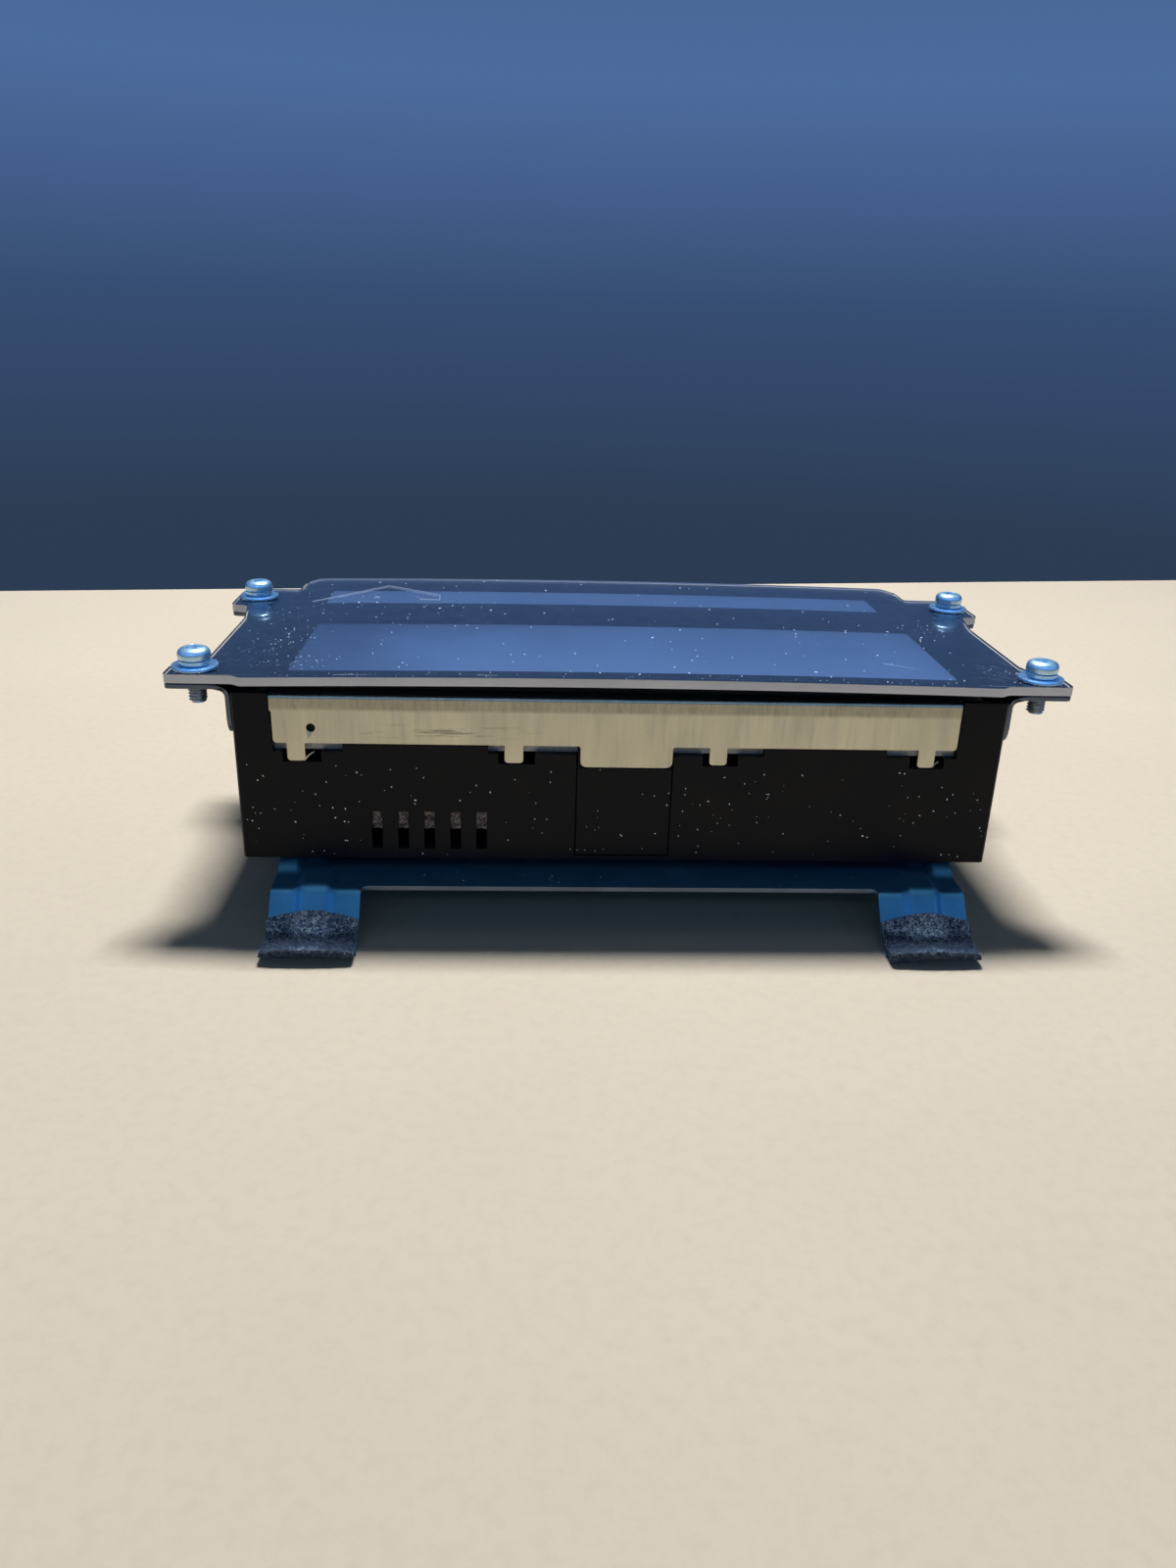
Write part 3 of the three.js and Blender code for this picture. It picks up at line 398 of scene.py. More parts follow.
ZINC = (0.062, 0.215, 0.33)
LOOKS = {
    "lens_acrylic": make_lens(),
    "lens_edge": make_lens_edge(),
    "mask_print": simple("mask_screen_print", (0.005, 0.008, 0.014), 0.5, relief=0.006, grain=3.0,
                        Specular_IOR_Level=0.1),
    "window_smoke": make_smoke(),
    # the frame's top bend gets its own blue plated colour: a painted highlight standing in for the blue sky reflected
    # along the bend
    "bend_painted_highlight": plated("top_bend_painted_sky_highlight", (0.30, 0.50, 0.86), 0.2, 0.2),
    "gasket_foam": simple("gasket_foam", (0.012, 0.012, 0.013), 0.92, tint=0.5, grain=2.6, relief=0.12),
    "dark_steel": plated("dark_plated_steel", (0.11, 0.13, 0.16), 0.34),
    "bright_screw": make_screw(),
    "washer_steel": plated("bright_zinc_washer", (0.46, 0.73, 0.94), 0.27, 0.2),
    # (5.1, 4.0): painted shade darkening the foot felts towards their low edge
    "foot_felt": make_felt("charcoal_felt", (0.15, 0.225, 0.39), (0.80, 0.96, 1.0), (0.5, 0.65, 0.9), (5.1, 4.0)),
    "felt_fibre": simple("felt_fibre", (0.22, 0.28, 0.38), 0.8, tint=0.8, tint_scale=1.5),
    "housing_black": make_housing("housing_moulded_black", (0.0045, 0.0045, 0.0048), 0.38),
    "cover_black": make_housing("cover_moulded_black", (0.010, 0.010, 0.011), 0.48),
    "vent_felt": make_felt("taupe_felt", (0.27, 0.225, 0.205), (0.85, 0.76, 0.72), (0.8, 0.75, 0.7)),
    "frame_metal": make_frame_metal(),
    "zinc_steel": plated("tray_zinc", (0.42, 0.62, 0.82), 0.30, 0.6),
    # near-white matt front faces of the display tray: a real lighter strip in the skirt's notches, raised further by
    # painted light because these faces sit in the skirt's shade
    "tray_front_painted_light": simple("lightened_tray_front", (0.80, 0.86, 0.84), 0.6, 0.0, tint=0.6, tint_scale=0.9, relief=0.08),
    "display_glass": make_display(),
    "light_guide": simple("milky_light_guide", (0.78, 0.80, 0.80), 0.3, tint=0.05),
    "led_board": simple("white_led_board", (0.72, 0.72, 0.68), 0.45, tint=0.06),
    "circuit_board": make_board(),
    "chip_black": simple("chip_package", (0.018, 0.018, 0.02), 0.55, relief=0.03),
    "inductor_grey": simple("moulded_ferrite", (0.08, 0.08, 0.085), 0.7, tint=0.3, relief=0.06),
    "capacitor_can": simple("capacitor_can", (0.62, 0.64, 0.66), 0.3, 1.0, tint=0.1),
    "socket_ivory": simple("socket_ivory", (0.62, 0.58, 0.48), 0.42, tint=0.06, relief=0.015),
    "socket_grey": simple("socket_dark_grey", (0.055, 0.058, 0.064), 0.42, relief=0.015),
    "ribbon_film": simple("amber_ribbon_film", (0.50, 0.20, 0.04), 0.28, tint=0.12, Coat_Weight=0.5),
    "bracket_zinc": plated("bracket_blue_zinc", ZINC, 0.33, 0.3, 0.86),
    "cut_steel": plated("sheared_steel_edge", (0.15, 0.18, 0.22), 0.42, 0.3, 0.9),
    "pin_metal": simple("tinned_pin", (0.78, 0.74, 0.62), 0.22, 1.0, tint=0.1, relief=0.004),
    "torn_film": simple("torn_film", (0.62, 0.68, 0.78), 0.35, tint=0.2, tint_scale=0.6),
    # pale flecks and lens scratches; their emission is a painted glow that keeps them bright where they sit in shade
    "dust": simple(
        "pale_dust_painted_glow", (0.95, 0.95, 0.95), 0.85, tint=0.15, tint_scale=2.0,
        Emission_Color=(0.85, 0.93, 1.0, 1.0), Emission_Strength=0.28
    ),
}


# ---- mesh helpers ----
WIDE_FACES_WIN = 90


def settle(name, mesh, stands_for=(), sharp=32.0, body="unit"):
    """Makes the piece, shaded smooth away from its sharp edges, and hands it to the frame."""
    mesh.polygons.foreach_set("use_smooth", [True] * len(mesh.polygons))
    mesh.set_sharp_from_angle(angle=math.radians(sharp))
    obj = linked(name, mesh)
    evened = obj.modifiers.new("flat_faces", "WEIGHTED_NORMAL")
    evened.keep_sharp = True
    evened.weight = WIDE_FACES_WIN
    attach(obj, body)
    if stands_for:
        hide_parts(*stands_for)
    return obj


def linked(name, mesh):
    obj = bpy.data.objects.new(name, mesh)
    SCENE.collection.objects.link(obj)
    return obj


def mesh_of(name, verts, faces):
    mesh = bpy.data.meshes.new(name)
    mesh.from_pydata([tuple(c * MM for c in v) for v in verts], [], faces)
    mesh.validate()
    return mesh


@contextmanager
def editing(mesh):
    bm = bmesh.new()
    bm.from_mesh(mesh)
    yield bm
    bm.to_mesh(mesh)
    bm.free()


def slice_at(bm, place, axis=(1, 0, 0), merge=1e-8):
    bmesh.ops.bisect_plane(
        bm, geom=bm.verts[:] + bm.edges[:] + bm.faces[:], dist=merge, plane_co=place, plane_no=axis
    )


def tidy_mesh(mesh, merge=1e-6):
    with editing(mesh) as bm:
        bmesh.ops.remove_doubles(bm, verts=bm.verts, dist=merge)
        bmesh.ops.recalc_face_normals(bm, faces=bm.faces)


def solid_of(name, verts, faces):
    mesh = mesh_of(name, verts, faces)
    tidy_mesh(mesh)
    return mesh


def rounded(mesh, width, segments=2, angle=28.0, dissolve=True):
    """Merges the mesh's split corners, joins flat triangles, and rounds every sharp edge."""
    with editing(mesh) as bm:
        bmesh.ops.remove_doubles(bm, verts=bm.verts, dist=2e-6)
        if dissolve:
            bmesh.ops.dissolve_limit(
                bm, angle_limit=math.radians(0.6), verts=bm.verts, edges=bm.edges, use_dissolve_boundaries=False
            )
        limit = math.radians(angle)
        edges = [e for e in bm.edges if len(e.link_faces) == 2 and e.calc_face_angle(0.0) > limit]
        bmesh.ops.bevel(
            bm, geom=edges, offset=width * MM, offset_type="OFFSET", segments=segments, profile=0.5,
            affect="EDGES", clamp_overlap=True, loop_slide=True,
        )
        bmesh.ops.remove_doubles(bm, verts=bm.verts, dist=1e-7)


def cut_or_join(obj, other, operation):
    made = obj.modifiers.new("solid", "BOOLEAN")
    made.object, made.operation, made.solver = other, operation, "EXACT"
    graph = bpy.context.evaluated_depsgraph_get()
    mesh = bpy.data.meshes.new_from_object(obj.evaluated_get(graph))
    obj.modifiers.clear()
    obj.data = mesh
    bpy.data.objects.remove(other)
    return obj


def corner_curve(points, steps=8):
    """A closed outline whose corners are rounded: each point is (x, y, radius)."""
    path = []
    count = len(points)
    for i, point in enumerate(points):
        x, y, radius = (*point, 0.0)[:3]
        corner = Vector((x, y))
        if radius <= 0:
            path.append(corner)
            continue
        before = Vector(points[i - 1][:2]) - corner
        after = Vector(points[(i + 1) % count][:2]) - corner
        a = corner + before.normalized() * radius
        b = corner + after.normalized() * radius
        for k in range(steps + 1):
            t = k / steps
            path.append(a * (1 - t) ** 2 + corner * 2 * t * (1 - t) + b * t * t)
    return path


def circle(x, y, radius, steps=40):
    return [
        Vector((x + radius * math.cos(a), y + radius * math.sin(a)))
        for a in (2 * math.pi * k / steps for k in range(steps))
    ]


def plate(name, outlines, low, high, edge=0.1, rings=1):
    """A flat plate with holes, from z low to high, with its rims rounded by edge."""
    curve = bpy.data.curves.new(name, "CURVE")
    curve.dimensions = "2D"
    curve.fill_mode = "BOTH"
    curve.extrude = max((high - low) / 2 - edge, 0.0) * MM
    curve.bevel_depth = edge * MM
    curve.bevel_resolution = rings
    curve.offset = -edge * MM
    for outline in outlines:
        spline = curve.splines.new("POLY")
        spline.points.add(len(outline) - 1)
        for point, (x, y) in zip(spline.points, outline):
            point.co = (x * MM, y * MM, 0.0, 1.0)
        spline.use_cyclic_u = True
    holder = linked(name, curve)
    graph = bpy.context.evaluated_depsgraph_get()
    mesh = bpy.data.meshes.new_from_object(holder.evaluated_get(graph))
    bpy.data.objects.remove(holder)
    mesh.transform(Matrix.Translation((0, 0, (low + high) / 2 * MM)))
    tidy_mesh(mesh, 2e-6)
    mesh.name = name
    return mesh


def dress(mesh, names, choose=None):
    """Gives the mesh its materials; choose(centre in mm, normal) names one for each face."""
    mesh.materials.clear()
    for name in names:
        mesh.materials.append(LOOKS[name].mat)
    if choose:
        for face in mesh.polygons:
            face.material_index = names.index(choose(face.center / MM, face.normal))


class BentPath:
    """The middle line of a bent sheet, measured along its length."""

    def __init__(self, u, v, heading, runs):
        self.runs = []
        length = 0.0
        for kind, size, turn in runs:
            step = size if kind == "line" else size * abs(math.radians(turn))
            self.runs.append((length, step, kind, size, math.radians(turn), u, v, heading))
            u, v, heading = self.along(self.runs[-1], step)
            length += step
        self.length = length

    @staticmethod
    def along(run, s):
        _, _, kind, size, turn, u, v, heading = run
        if kind == "line":
            return u + s * math.cos(heading), v + s * math.sin(heading), heading
        sense = 1 if turn > 0 else -1
        cu, cv = u - sense * size * math.sin(heading), v + sense * size * math.cos(heading)
        new = heading + sense * s / size
        return cu + sense * size * math.sin(new), cv - sense * size * math.cos(new), new

    def at(self, s, t):
        """The place s along the sheet and t to the left of its middle line."""
        run = next((r for r in reversed(self.runs) if s >= r[0]), self.runs[0])
        u, v, heading = self.along(run, s - run[0])
        return u - t * math.sin(heading), v + t * math.cos(heading)

    def bends(self, cuts):
        for start, step, kind, *_ in self.runs:
            if kind == "arc":
                yield from (start + step * k / cuts for k in range(cuts + 1))


def fold(mesh, path, cuts, place):
    """Bends a flat plate, drawn with X along the path, round that path."""
    with editing(mesh) as bm:
        for s in path.bends(cuts):
            slice_at(bm, (s * MM, 0, 0))
        for vert in bm.verts:
            s, w, t = (c / MM for c in vert.co)
            u, v = path.at(s, t)
            vert.co = Vector(place(u, v, w)) * MM
        bmesh.ops.recalc_face_normals(bm, faces=bm.faces)


def lathe(profile, sides):
    """Turns (radius, z) points about Z; a point on the axis closes the form."""
    verts, faces, rings = [], [], []
    for radius, z in profile:
        if radius < 1e-6:
            verts.append((0, 0, z))
            rings.append([len(verts) - 1] * sides)
            continue
        first = len(verts)
        for k in range(sides):
            a = 2 * math.pi * k / sides
            verts.append((radius * math.cos(a), radius * math.sin(a), z))
        rings.append(list(range(first, first + sides)))
    loops = list(zip(rings, rings[1:]))
    if profile[0][0] > 1e-6:
        loops.append((rings[-1], rings[0]))
    for low, high in loops:
        for k in range(sides):
            j = (k + 1) % sides
            face = [low[k], low[j], high[j], high[k]]
            face = list(dict.fromkeys(face))
            if len(face) > 2:
                faces.append(face)
    return verts, faces


def tube(rows):
    """Skins rows of points, each a closed ring, into a closed tube; gives verts and faces."""
    around, last = len(rows[0]), len(rows) - 1
    faces = []
    for a in range(0, last * around, around):
        for k in range(around):
            j = (k + 1) % around
            faces.append([a + k, a + j, a + around + j, a + around + k])
    faces += [list(range(around))[::-1], [last * around + k for k in range(around)]]
    return [point for row in rows for point in row], faces


def strand(points, radius, sides=3, taper=0.35):
    """A thin closed tube along points in mm; gives verts and faces."""
    rows = []
    last = len(points) - 1
    for i, p in enumerate(points):
        ahead = (Vector(points[min(i + 1, last)]) - Vector(points[max(i - 1, 0)])).normalized()
        side = ahead.cross(Vector((0.31, 0.22, 0.92))).normalized()
        other = ahead.cross(side)
        r = radius * (1 - (1 - taper) * i / last)
        around = (2 * math.pi * k / sides for k in range(sides))
        rows.append([tuple(Vector(p) + (side * math.cos(a) + other * math.sin(a)) * r) for a in around])
    return tube(rows)


def gather(shapes):
    """Joins several (verts, faces) lists into one."""
    verts, faces = [], []
    for more_verts, more_faces in shapes:
        base = len(verts)
        verts += more_verts
        faces += [[i + base for i in face] for face in more_faces]
    return verts, faces


# ---- the lens stack ----
LENS_SIDE = [
    (82.5, -47.75, 0.8), (84.2, -46.25, 0.8), (98.8, -46.25, 1.6), (98.8, -39.5, 1.5),
    (92.3, -31.5, 1.5), (92.3, 2.6, 3.0), (94.4, 14.8, 1.4), (98.8, 15.8, 1.8), (98.8, 33.75, 3.0),
    (84.0, 33.75, 2.0), (84.0, 42.0, 1.5), (81.4, 47.0, 0.8), (79.5, 47.75, 0.6),
]
MASK_SIDE = [
    (82.3, -47.35, 0.8), (84.0, -45.85, 0.8), (98.4, -45.85, 1.4), (98.4, -39.7, 1.4),
    (91.9, -31.7, 1.5), (91.9, 2.8, 3.0), (94.0, 15.1, 1.4), (98.4, 16.2, 1.7), (98.4, 33.35, 2.8),
    (83.6, 33.35, 2.0), (83.6, 41.8, 1.5), (81.1, 46.7, 0.8), (79.3, 47.35, 0.6),
]
CORNERS = {
    "front_left": (-SCREW_X, FRONT_Y), "front_right": (SCREW_X, FRONT_Y),
    "rear_left": (-SCREW_X, REAR_Y), "rear_right": (SCREW_X, REAR_Y),
}


def two_sided(side):
    left = [(-p[0], *p[1:]) for p in reversed(side)]
    return corner_curve(list(side) + left)


def box_outline(x0, x1, y0, y1, radius):
    return corner_curve([(x0, y0, radius), (x1, y0, radius), (x1, y1, radius), (x0, y1, radius)])


def bow(x):
    """How far the lens and its print rise above flat between the side brackets."""
    return LENS_BOW * max(0.0, 1 - (x / BOW_X) ** 2)


def bend_up(mesh):
    """Bows a flat plate along X, after cutting it into slices."""
    with editing(mesh) as bm:
        for k in range(1, BOW_SLICES):
            slice_at(bm, (BOW_X * (2 * k / BOW_SLICES - 1) * MM, 0, 0))
        for vert in bm.verts:
            vert.co.z += bow(vert.co.x / MM) * MM


def lens_face(place, normal):
    """Sawn and matt where the edge faces front or back; polished along the sloping sides."""
    return "lens_acrylic" if abs(normal.z) > 0.9 or abs(normal.y) < 0.45 else "lens_edge"


def make_lens_plate():
    holes = [circle(x, y, HOLE_R) for x, y in CORNERS.values()]
    mesh = plate("lens_plate", [two_sided(LENS_SIDE), *holes], LENS_LOW, LENS_TOP, 0.14)
    bend_up(mesh)
    dress(mesh, ["lens_acrylic", "lens_edge"], lens_face)
    settle("lens_plate", mesh, ["front_lens"], 20)


def make_mask():
    """The print under the lens: opaque black round two smoked windows."""
    low, high = EAR_TOP + 0.06, LENS_LOW - 0.06
    windows = [box_outline(x0, x1, y0, y1, 0.8) for x0, x1, y0, y1 in (MAIN_WINDOW, STRIP_WINDOW)]
    holes = windows + [circle(x, y, 2.6) for x, y in CORNERS.values()]
    black = plate("print_black", [two_sided(MASK_SIDE), *holes], low, high, 0.02)
    sheets = [(black, "mask_print")]
    for x0, x1, y0, y1 in (MAIN_WINDOW, STRIP_WINDOW):
        outline = box_outline(x0 + 0.03, x1 - 0.03, y0 + 0.03, y1 - 0.03, 0.77)
        sheets.append((plate("print_smoke", [outline], low, high, 0.02), "window_smoke"))
    both = ["mask_print", "window_smoke"]
    for mesh, slot in sheets:
        bend_up(mesh)
        dress(mesh, both, lambda c, n, slot=slot: slot)
    mesh = merged_mesh("mask_print_sheet", [mesh for mesh, _ in sheets])
    for name in both:
        mesh.materials.append(LOOKS[name].mat)
    settle("mask_print_sheet", mesh, ["lens_mask_print"], 20)


def make_gaskets():
    for name, (x0, x1, y0, y1) in (("main_window", MAIN_WINDOW), ("strip_window", STRIP_WINDOW)):
        outer = box_outline(x0 - 2.2, x1 + 2.2, y0 - 2.2, y1 + 2.2, 1.5)
        inner = box_outline(x0 + 0.3, x1 - 0.3, y0 + 0.3, y1 - 0.3, 0.8)
        mesh = plate(name + "_foam", [outer, inner], FRAME_TOP + 0.3, 52.6, 0.3, 3)
        dress(mesh, ["gasket_foam"])
        foam = settle(name + "_foam", mesh, [name + "_gasket"], 60)


# ---- side brackets: one bent sheet each ----
def make_side_bracket(name, side):
    path = BentPath(86.0, 41.0, math.pi / 2, [("line", 8.7, 0), ("arc", 3.0, -90), ("line", 9.8, 0)])
    ear = path.length
    waist = ear - 6.5
    outline = corner_curve([
        (0, -44.25, 4.5), (0, 33.4, 4.5), (ear, 33.4, 3.0), (ear, 16.4, 1.6), (ear - 4.6, 15.8, 1.4), (waist, 10, 1.5),
        (8.4, 10, 1.2), (8.4, -31.5, 1.2), (waist, -31.5, 1.5), (ear, -39.5, 1.5), (ear, -46, 1.6),
        (12.2, -46, 1.2), (10.4, -44.25, 1.2),
    ])
    hole = ear - 5.8
    holes = [circle(hole, y, HOLE_R) for y in (FRONT_Y, REAR_Y)]
    holes += [circle(5.0, y, 1.8, 28) for y in SIDE_SCREW_Y]
    mesh = plate(name + "_sheet", [outline, *holes], -0.5, 0.5, 0.12)
    fold(mesh, path, 10, lambda u, v, w: (side * u, w, v))
    dress(mesh, ["dark_steel"])
    settle(name + "_sheet", mesh, [name])


# ---- display frame: bent sheet with tabs ----
TABS = [(-73.6, -69.7), (-26.3, -22.2), (19.1, 23.0), (66.0, 69.8)]


def make_front_frame():
    start, r = WIDE_TAB_LOW, FRAME_SHEET
    rise = FRAME_TOP - 0.9 - start
    path = BentPath(
        SKIRT_FRONT + 0.3, start, math.pi / 2, [("line", rise, 0), ("arc", r, -90), ("line", 87.25, 0)]
    )
    flat = rise + r * math.pi / 2
    low, tab_low = SKIRT_LOW - start, TAB_LOW - start

    def top(y):
        return flat + y + 45.25

    def tab(x0, x1):
        return [(low, x0, 0.25), (tab_low, x0, 0.9), (tab_low, x1, 0.9), (low, x1, 0.25)]

    outline = corner_curve([
        (low, -76.5, 1.0), *tab(*TABS[0]), *tab(*TABS[1]),
        (low, -9.6, 0.6), (0, -9.6, 1.6), (0, 10.9, 1.6), (low, 10.9, 0.6),
        *tab(*TABS[2]), *tab(*TABS[3]), (low, 74.5, 1.0),
        (top(-43.45), 74.5), (top(-43.45), 80), (top(42), 80), (top(42), -80), (top(-43.45), -80),
        (top(-43.45), -76.85), (47.7 - start, -76.85, 0.2), (47.5 - start, -76.5, 0.1),
    ], 6)
    holes = [circle(43.9 - start, -68.2, 0.95, 28)]
    for x0, x1, y0, y1 in (MAIN_WINDOW, STRIP_WINDOW):
        holes.append(box_outline(top(y0 + 1), top(y1 - 1), x0 + 1, x1 - 1, 0.6))
    mesh = plate("front_frame_sheet", [outline, *holes], -FRAME_SHEET / 2, FRAME_SHEET / 2, 0.08)
    fold(mesh, path, 8, lambda u, v, w: (w, u, v))
    # faces on the top bend take the painted blue highlight; the rest of the sheet is the bare frame metal
    dress(mesh, ["frame_metal", "bend_painted_highlight"],
          lambda c, n: "bend_painted_highlight" if n.z > 0.35 and c.z > 50 else "frame_metal")
    settle("front_frame_sheet", mesh, ["lcd_front_frame"])


def make_curl(name, start, end, wide):
    """A sliver of the tab's edge that curled out to one side as it was bent."""
    rows = []
    steps = 10
    (x0, z0), (x1, z1) = start, end
    for i in range(steps + 1):
        t = i / steps
        turn = math.radians(2 + 8 * t)
        half = wide / 2 * (1 - 0.75 * t)
        x, z = x0 + (x1 - x0) * t, z0 + (z1 - z0) * t + 0.25 * math.sin(math.pi * t)
        y = SKIRT_FRONT + 0.16 - 0.1 * t
        rows.append([
            (x + a * 0.35, y + a * math.sin(turn) + b, z + a * math.cos(turn))
            for a, b in ((-half, -0.16), (half, -0.16), (half, 0.16), (-half, 0.16))
        ])
    mesh = solid_of(name, *tube(rows))
    dress(mesh, ["frame_metal"])
    settle(name, mesh)


# ---- corner screws ----
def thread_shape(major, depth, pitch, low, sides=40, per_turn=10):
    """A pointed, threaded shank from z low up to just under its head."""
    high = -0.02
    rows = int((high - low) / pitch * per_turn) + 1
    rings = []
    for i in range(rows + 1):
        z = low + (high - low) * i / rows
        point = 0.74 + 0.26 * min(1.0, (z - low) / 0.7 + 0.35)
        ring = []
        for k in range(sides):
            phase = (z / pitch - k / sides) % 1.0
            r = (major - depth * min(1.0, abs(phase - 0.5) * 2.35)) * point
            a = 2 * math.pi * k / sides
            ring.append((r * math.cos(a), r * math.sin(a), z))
        rings.append(ring)
    return tube(rings)


def recess_cutter(top, deep, long, wide, long_low, wide_low):
    """A tapered cross; a tube of two twelve-cornered rings."""
    rings = []
    for a, b, z in ((long_low, wide_low, top - deep), (long, wide, top + 0.4)):
        arm = [(a, b), (b, b), (b, a), (-b, a), (-b, b), (-a, b)]
        rings.append([(x, y, z) for x, y in arm + [(-x, -y) for x, y in arm]])
    return tube(rings)


def pan_head_mesh(name, radius, high, sides, recess):
    r, h = radius, high
    profile = [
        (0, 0), (r * 0.93, 0), (r * 0.985, 0.06 * h), (r, 0.14 * h), (r, 0.42 * h), (r * 0.985, 0.56 * h),
        (r * 0.94, 0.70 * h), (r * 0.86, 0.82 * h), (r * 0.74, 0.91 * h), (r * 0.55, 0.975 * h), (r * 0.3, h), (0, h),
    ]
    head = linked(name, solid_of(name, *lathe(profile, sides)))
    cutter = linked(name + "_cutter", solid_of(name + "_cutter", *recess_cutter(high, *recess)))
    cut_or_join(head, cutter, "DIFFERENCE")
    mesh = head.data
    bpy.data.objects.remove(head)
    rounded(mesh, 0.09, 2, 38, dissolve=False)
    return mesh


def merged_mesh(name, meshes):
    bm = bmesh.new()
    for mesh in meshes:
        bm.from_mesh(mesh)
    made = bpy.data.meshes.new(name)
    bm.to_mesh(made)
    bm.free()
    return made


def make_corner_stacks():
    head = pan_head_mesh("m4_head", 3.5, 2.6, 64, (1.5, 1.95, 0.50, 0.85, 0.34))
    shank = mesh_of("m4_shank", *thread_shape(2.0, 0.40, 0.7, -SHANK_LONG))
    whole = merged_mesh("m4_screw", [head, shank])
    slit, outer, inner = 0.10, 3.4, 2.3
    section = [(inner + 0.12, 0), (outer - 0.14, 0), (outer, 0.14), (outer, 0.84), (outer - 0.16, 1.0),
               (inner + 0.12, 1.0), (inner, 0.88), (inner, 0.12)]
    rows = []
    steps = 72
    for i in range(steps + 1):
        a = slit + (2 * math.pi - 2 * slit) * i / steps
        rise = 0.05 * (1 - 2 * i / steps)
        rows.append([(r * math.cos(a), r * math.sin(a), z + rise) for r, z in section])
    spring = solid_of("m4_spring", *tube(rows))
    flat_profile = [(2.3, 0.08), (2.36, 0), (4.85, 0), (5.0, 0.12), (5.0, 0.56), (4.9, 0.72), (4.68, 0.8),
                    (2.46, 0.8), (2.33, 0.74), (2.3, 0.66)]
    flat = solid_of("m4_flat", *lathe(flat_profile, 72))
    turns = {"front_left": 24, "front_right": -8, "rear_left": 61, "rear_right": 38}
    for tag, (x, y) in CORNERS.items():
        turn = Matrix.Rotation(math.radians(turns[tag]), 4, "Z")
        for name, source, z, body, slot, node in (
            ("screw_m4_", whole, HEAD_LOW, "screw_", "bright_screw", "corner_screw_"),
            ("split_washer_", spring, SPRING_LOW, "washers_", "washer_steel", "spring_washer_"),
            ("round_washer_", flat, WASHER_LOW, "washers_", "washer_steel", "flat_washer_"),
        ):
            mesh = source.copy()
            mesh.transform(Matrix.Translation((x * MM, y * MM, z * MM)) @ turn)
            dress(mesh, [slot])
            settle(name + tag, mesh, [node + tag], 34, body + tag)


# ---- bracket: pressed sheet with ribs, from the CAD's own path ----
def smooth(low, high, value):
    """0 at low, 1 at high, eased at both ends; low may be the larger."""
    t = min(max((value - low) / (high - low), 0.0), 1.0)
    return t * t * (3 - 2 * t)


def arc_points(cy, cz, radius, start, end, steps, outward):
    for i in range(steps + 1):
        a = start + (end - start) * i / steps
        c, s = math.cos(a), math.sin(a)
        yield cy + radius * c, cz + radius * s, outward * c, outward * s


def leg_path():
    """The leg's upper side from toe to web: (y, z, and its normal's y and z) for each row."""
    slope, quarter = math.radians(SLOPE_DEG), math.pi / 2
    bend_z, toe_z = WEB_TOP - BEND_R, STEEL + TOE_R
    slope_top = bend_z + BEND_R * math.cos(slope)
    slope_low = toe_z - TOE_R * math.cos(slope)
    run = (slope_top - slope_low) / math.tan(slope)
    toe_y = -SLOPE_START - (BEND_R + TOE_R) * math.sin(slope) - run
    toe = list(arc_points(toe_y, toe_z, TOE_R, -quarter, slope - quarter, 10, -1))
    bend = list(arc_points(-SLOPE_START, bend_z, BEND_R, quarter + slope, quarter, 10, 1))
    y0, z0, ny, nz = toe[-1]
    along = []
    for k in range(1, 8):
        z = z0 + (slope_top - z0) * k / 8
        along.append((y0 + (z - z0) / math.tan(slope), z, ny, nz))
    tip = [(y, STEEL, 0.0, 1.0) for y in (TOE_FLAT, -67.7, -67.4)]
    flat = [(-55.2 + 0.9 * k, WEB_TOP, 0.0, 1.0) for k in range(40)]
    return tip + toe + along + bend + flat


def leg_rise(x, y):
    """The pressed rib over the foot and the step beside it, above the plain bent sheet."""
    across = 1 - smooth(2.1, 5.0, abs(x - (FOOT_X0 + FOOT_X1) / 2))
    along = smooth(-68, -64, y) * (1 - smooth(-49.5, -45.8, y))
    outer = smooth(71.2, 73.2, x) * smooth(-50.6, -45.9, y)
    inner = smooth(65.5, 69, x) * smooth(-43.6, -41.2, y)
    return RIB_HIGH * across * along + EAR_STEP * max(outer, inner) * (1 - smooth(-30, -20, y))


def sheet_shape(path, xs, low, high, ripple=None):
    """A closed sheet between two offsets above the pressed surface."""
    verts, faces = [], []
    across = len(xs)
    for offset, side in ((low, 0), (high, 1)):
        for i, (y, z, ny, nz) in enumerate(path):
            for x in xs:
                rise = leg_rise(min(max(x, FOOT_X0), FOOT_X1), y) + offset
                if ripple:
                    rise += ripple(x, y, z, side)
                verts.append((x, y + ny * rise, z + nz * rise))
    size = len(path) * across
    last = len(path) - 1
    for i in range(last):
        for j in range(across - 1):
            a = i * across + j
            faces.append([a, a + across, a + across + 1, a + 1])
            faces.append([size + a, size + a + 1, size + a + across + 1, size + a + across])
        a, b = i * across, i * across + across - 1
        faces.append([a, size + a, size + a + across, a + across])
        faces.append([b, b + across, size + b + across, size + b])
    for j in range(across - 1):
        far = last * across + j
        faces.append([j, j + 1, size + j + 1, size + j])
        faces.append([far, size + far, size + far + 1, far + 1])
    return verts, faces


def mirror_shape(shape, sx, sy):
    verts, faces = shape
    verts = [(x * sx, y * sy, z) for x, y, z in verts]
    if sx * sy < 0:
        faces = [face[::-1] for face in faces]
    return verts, faces


QUARTERS = {"front_left": (-1, 1), "front_right": (1, 1), "rear_left": (-1, -1), "rear_right": (1, -1)}


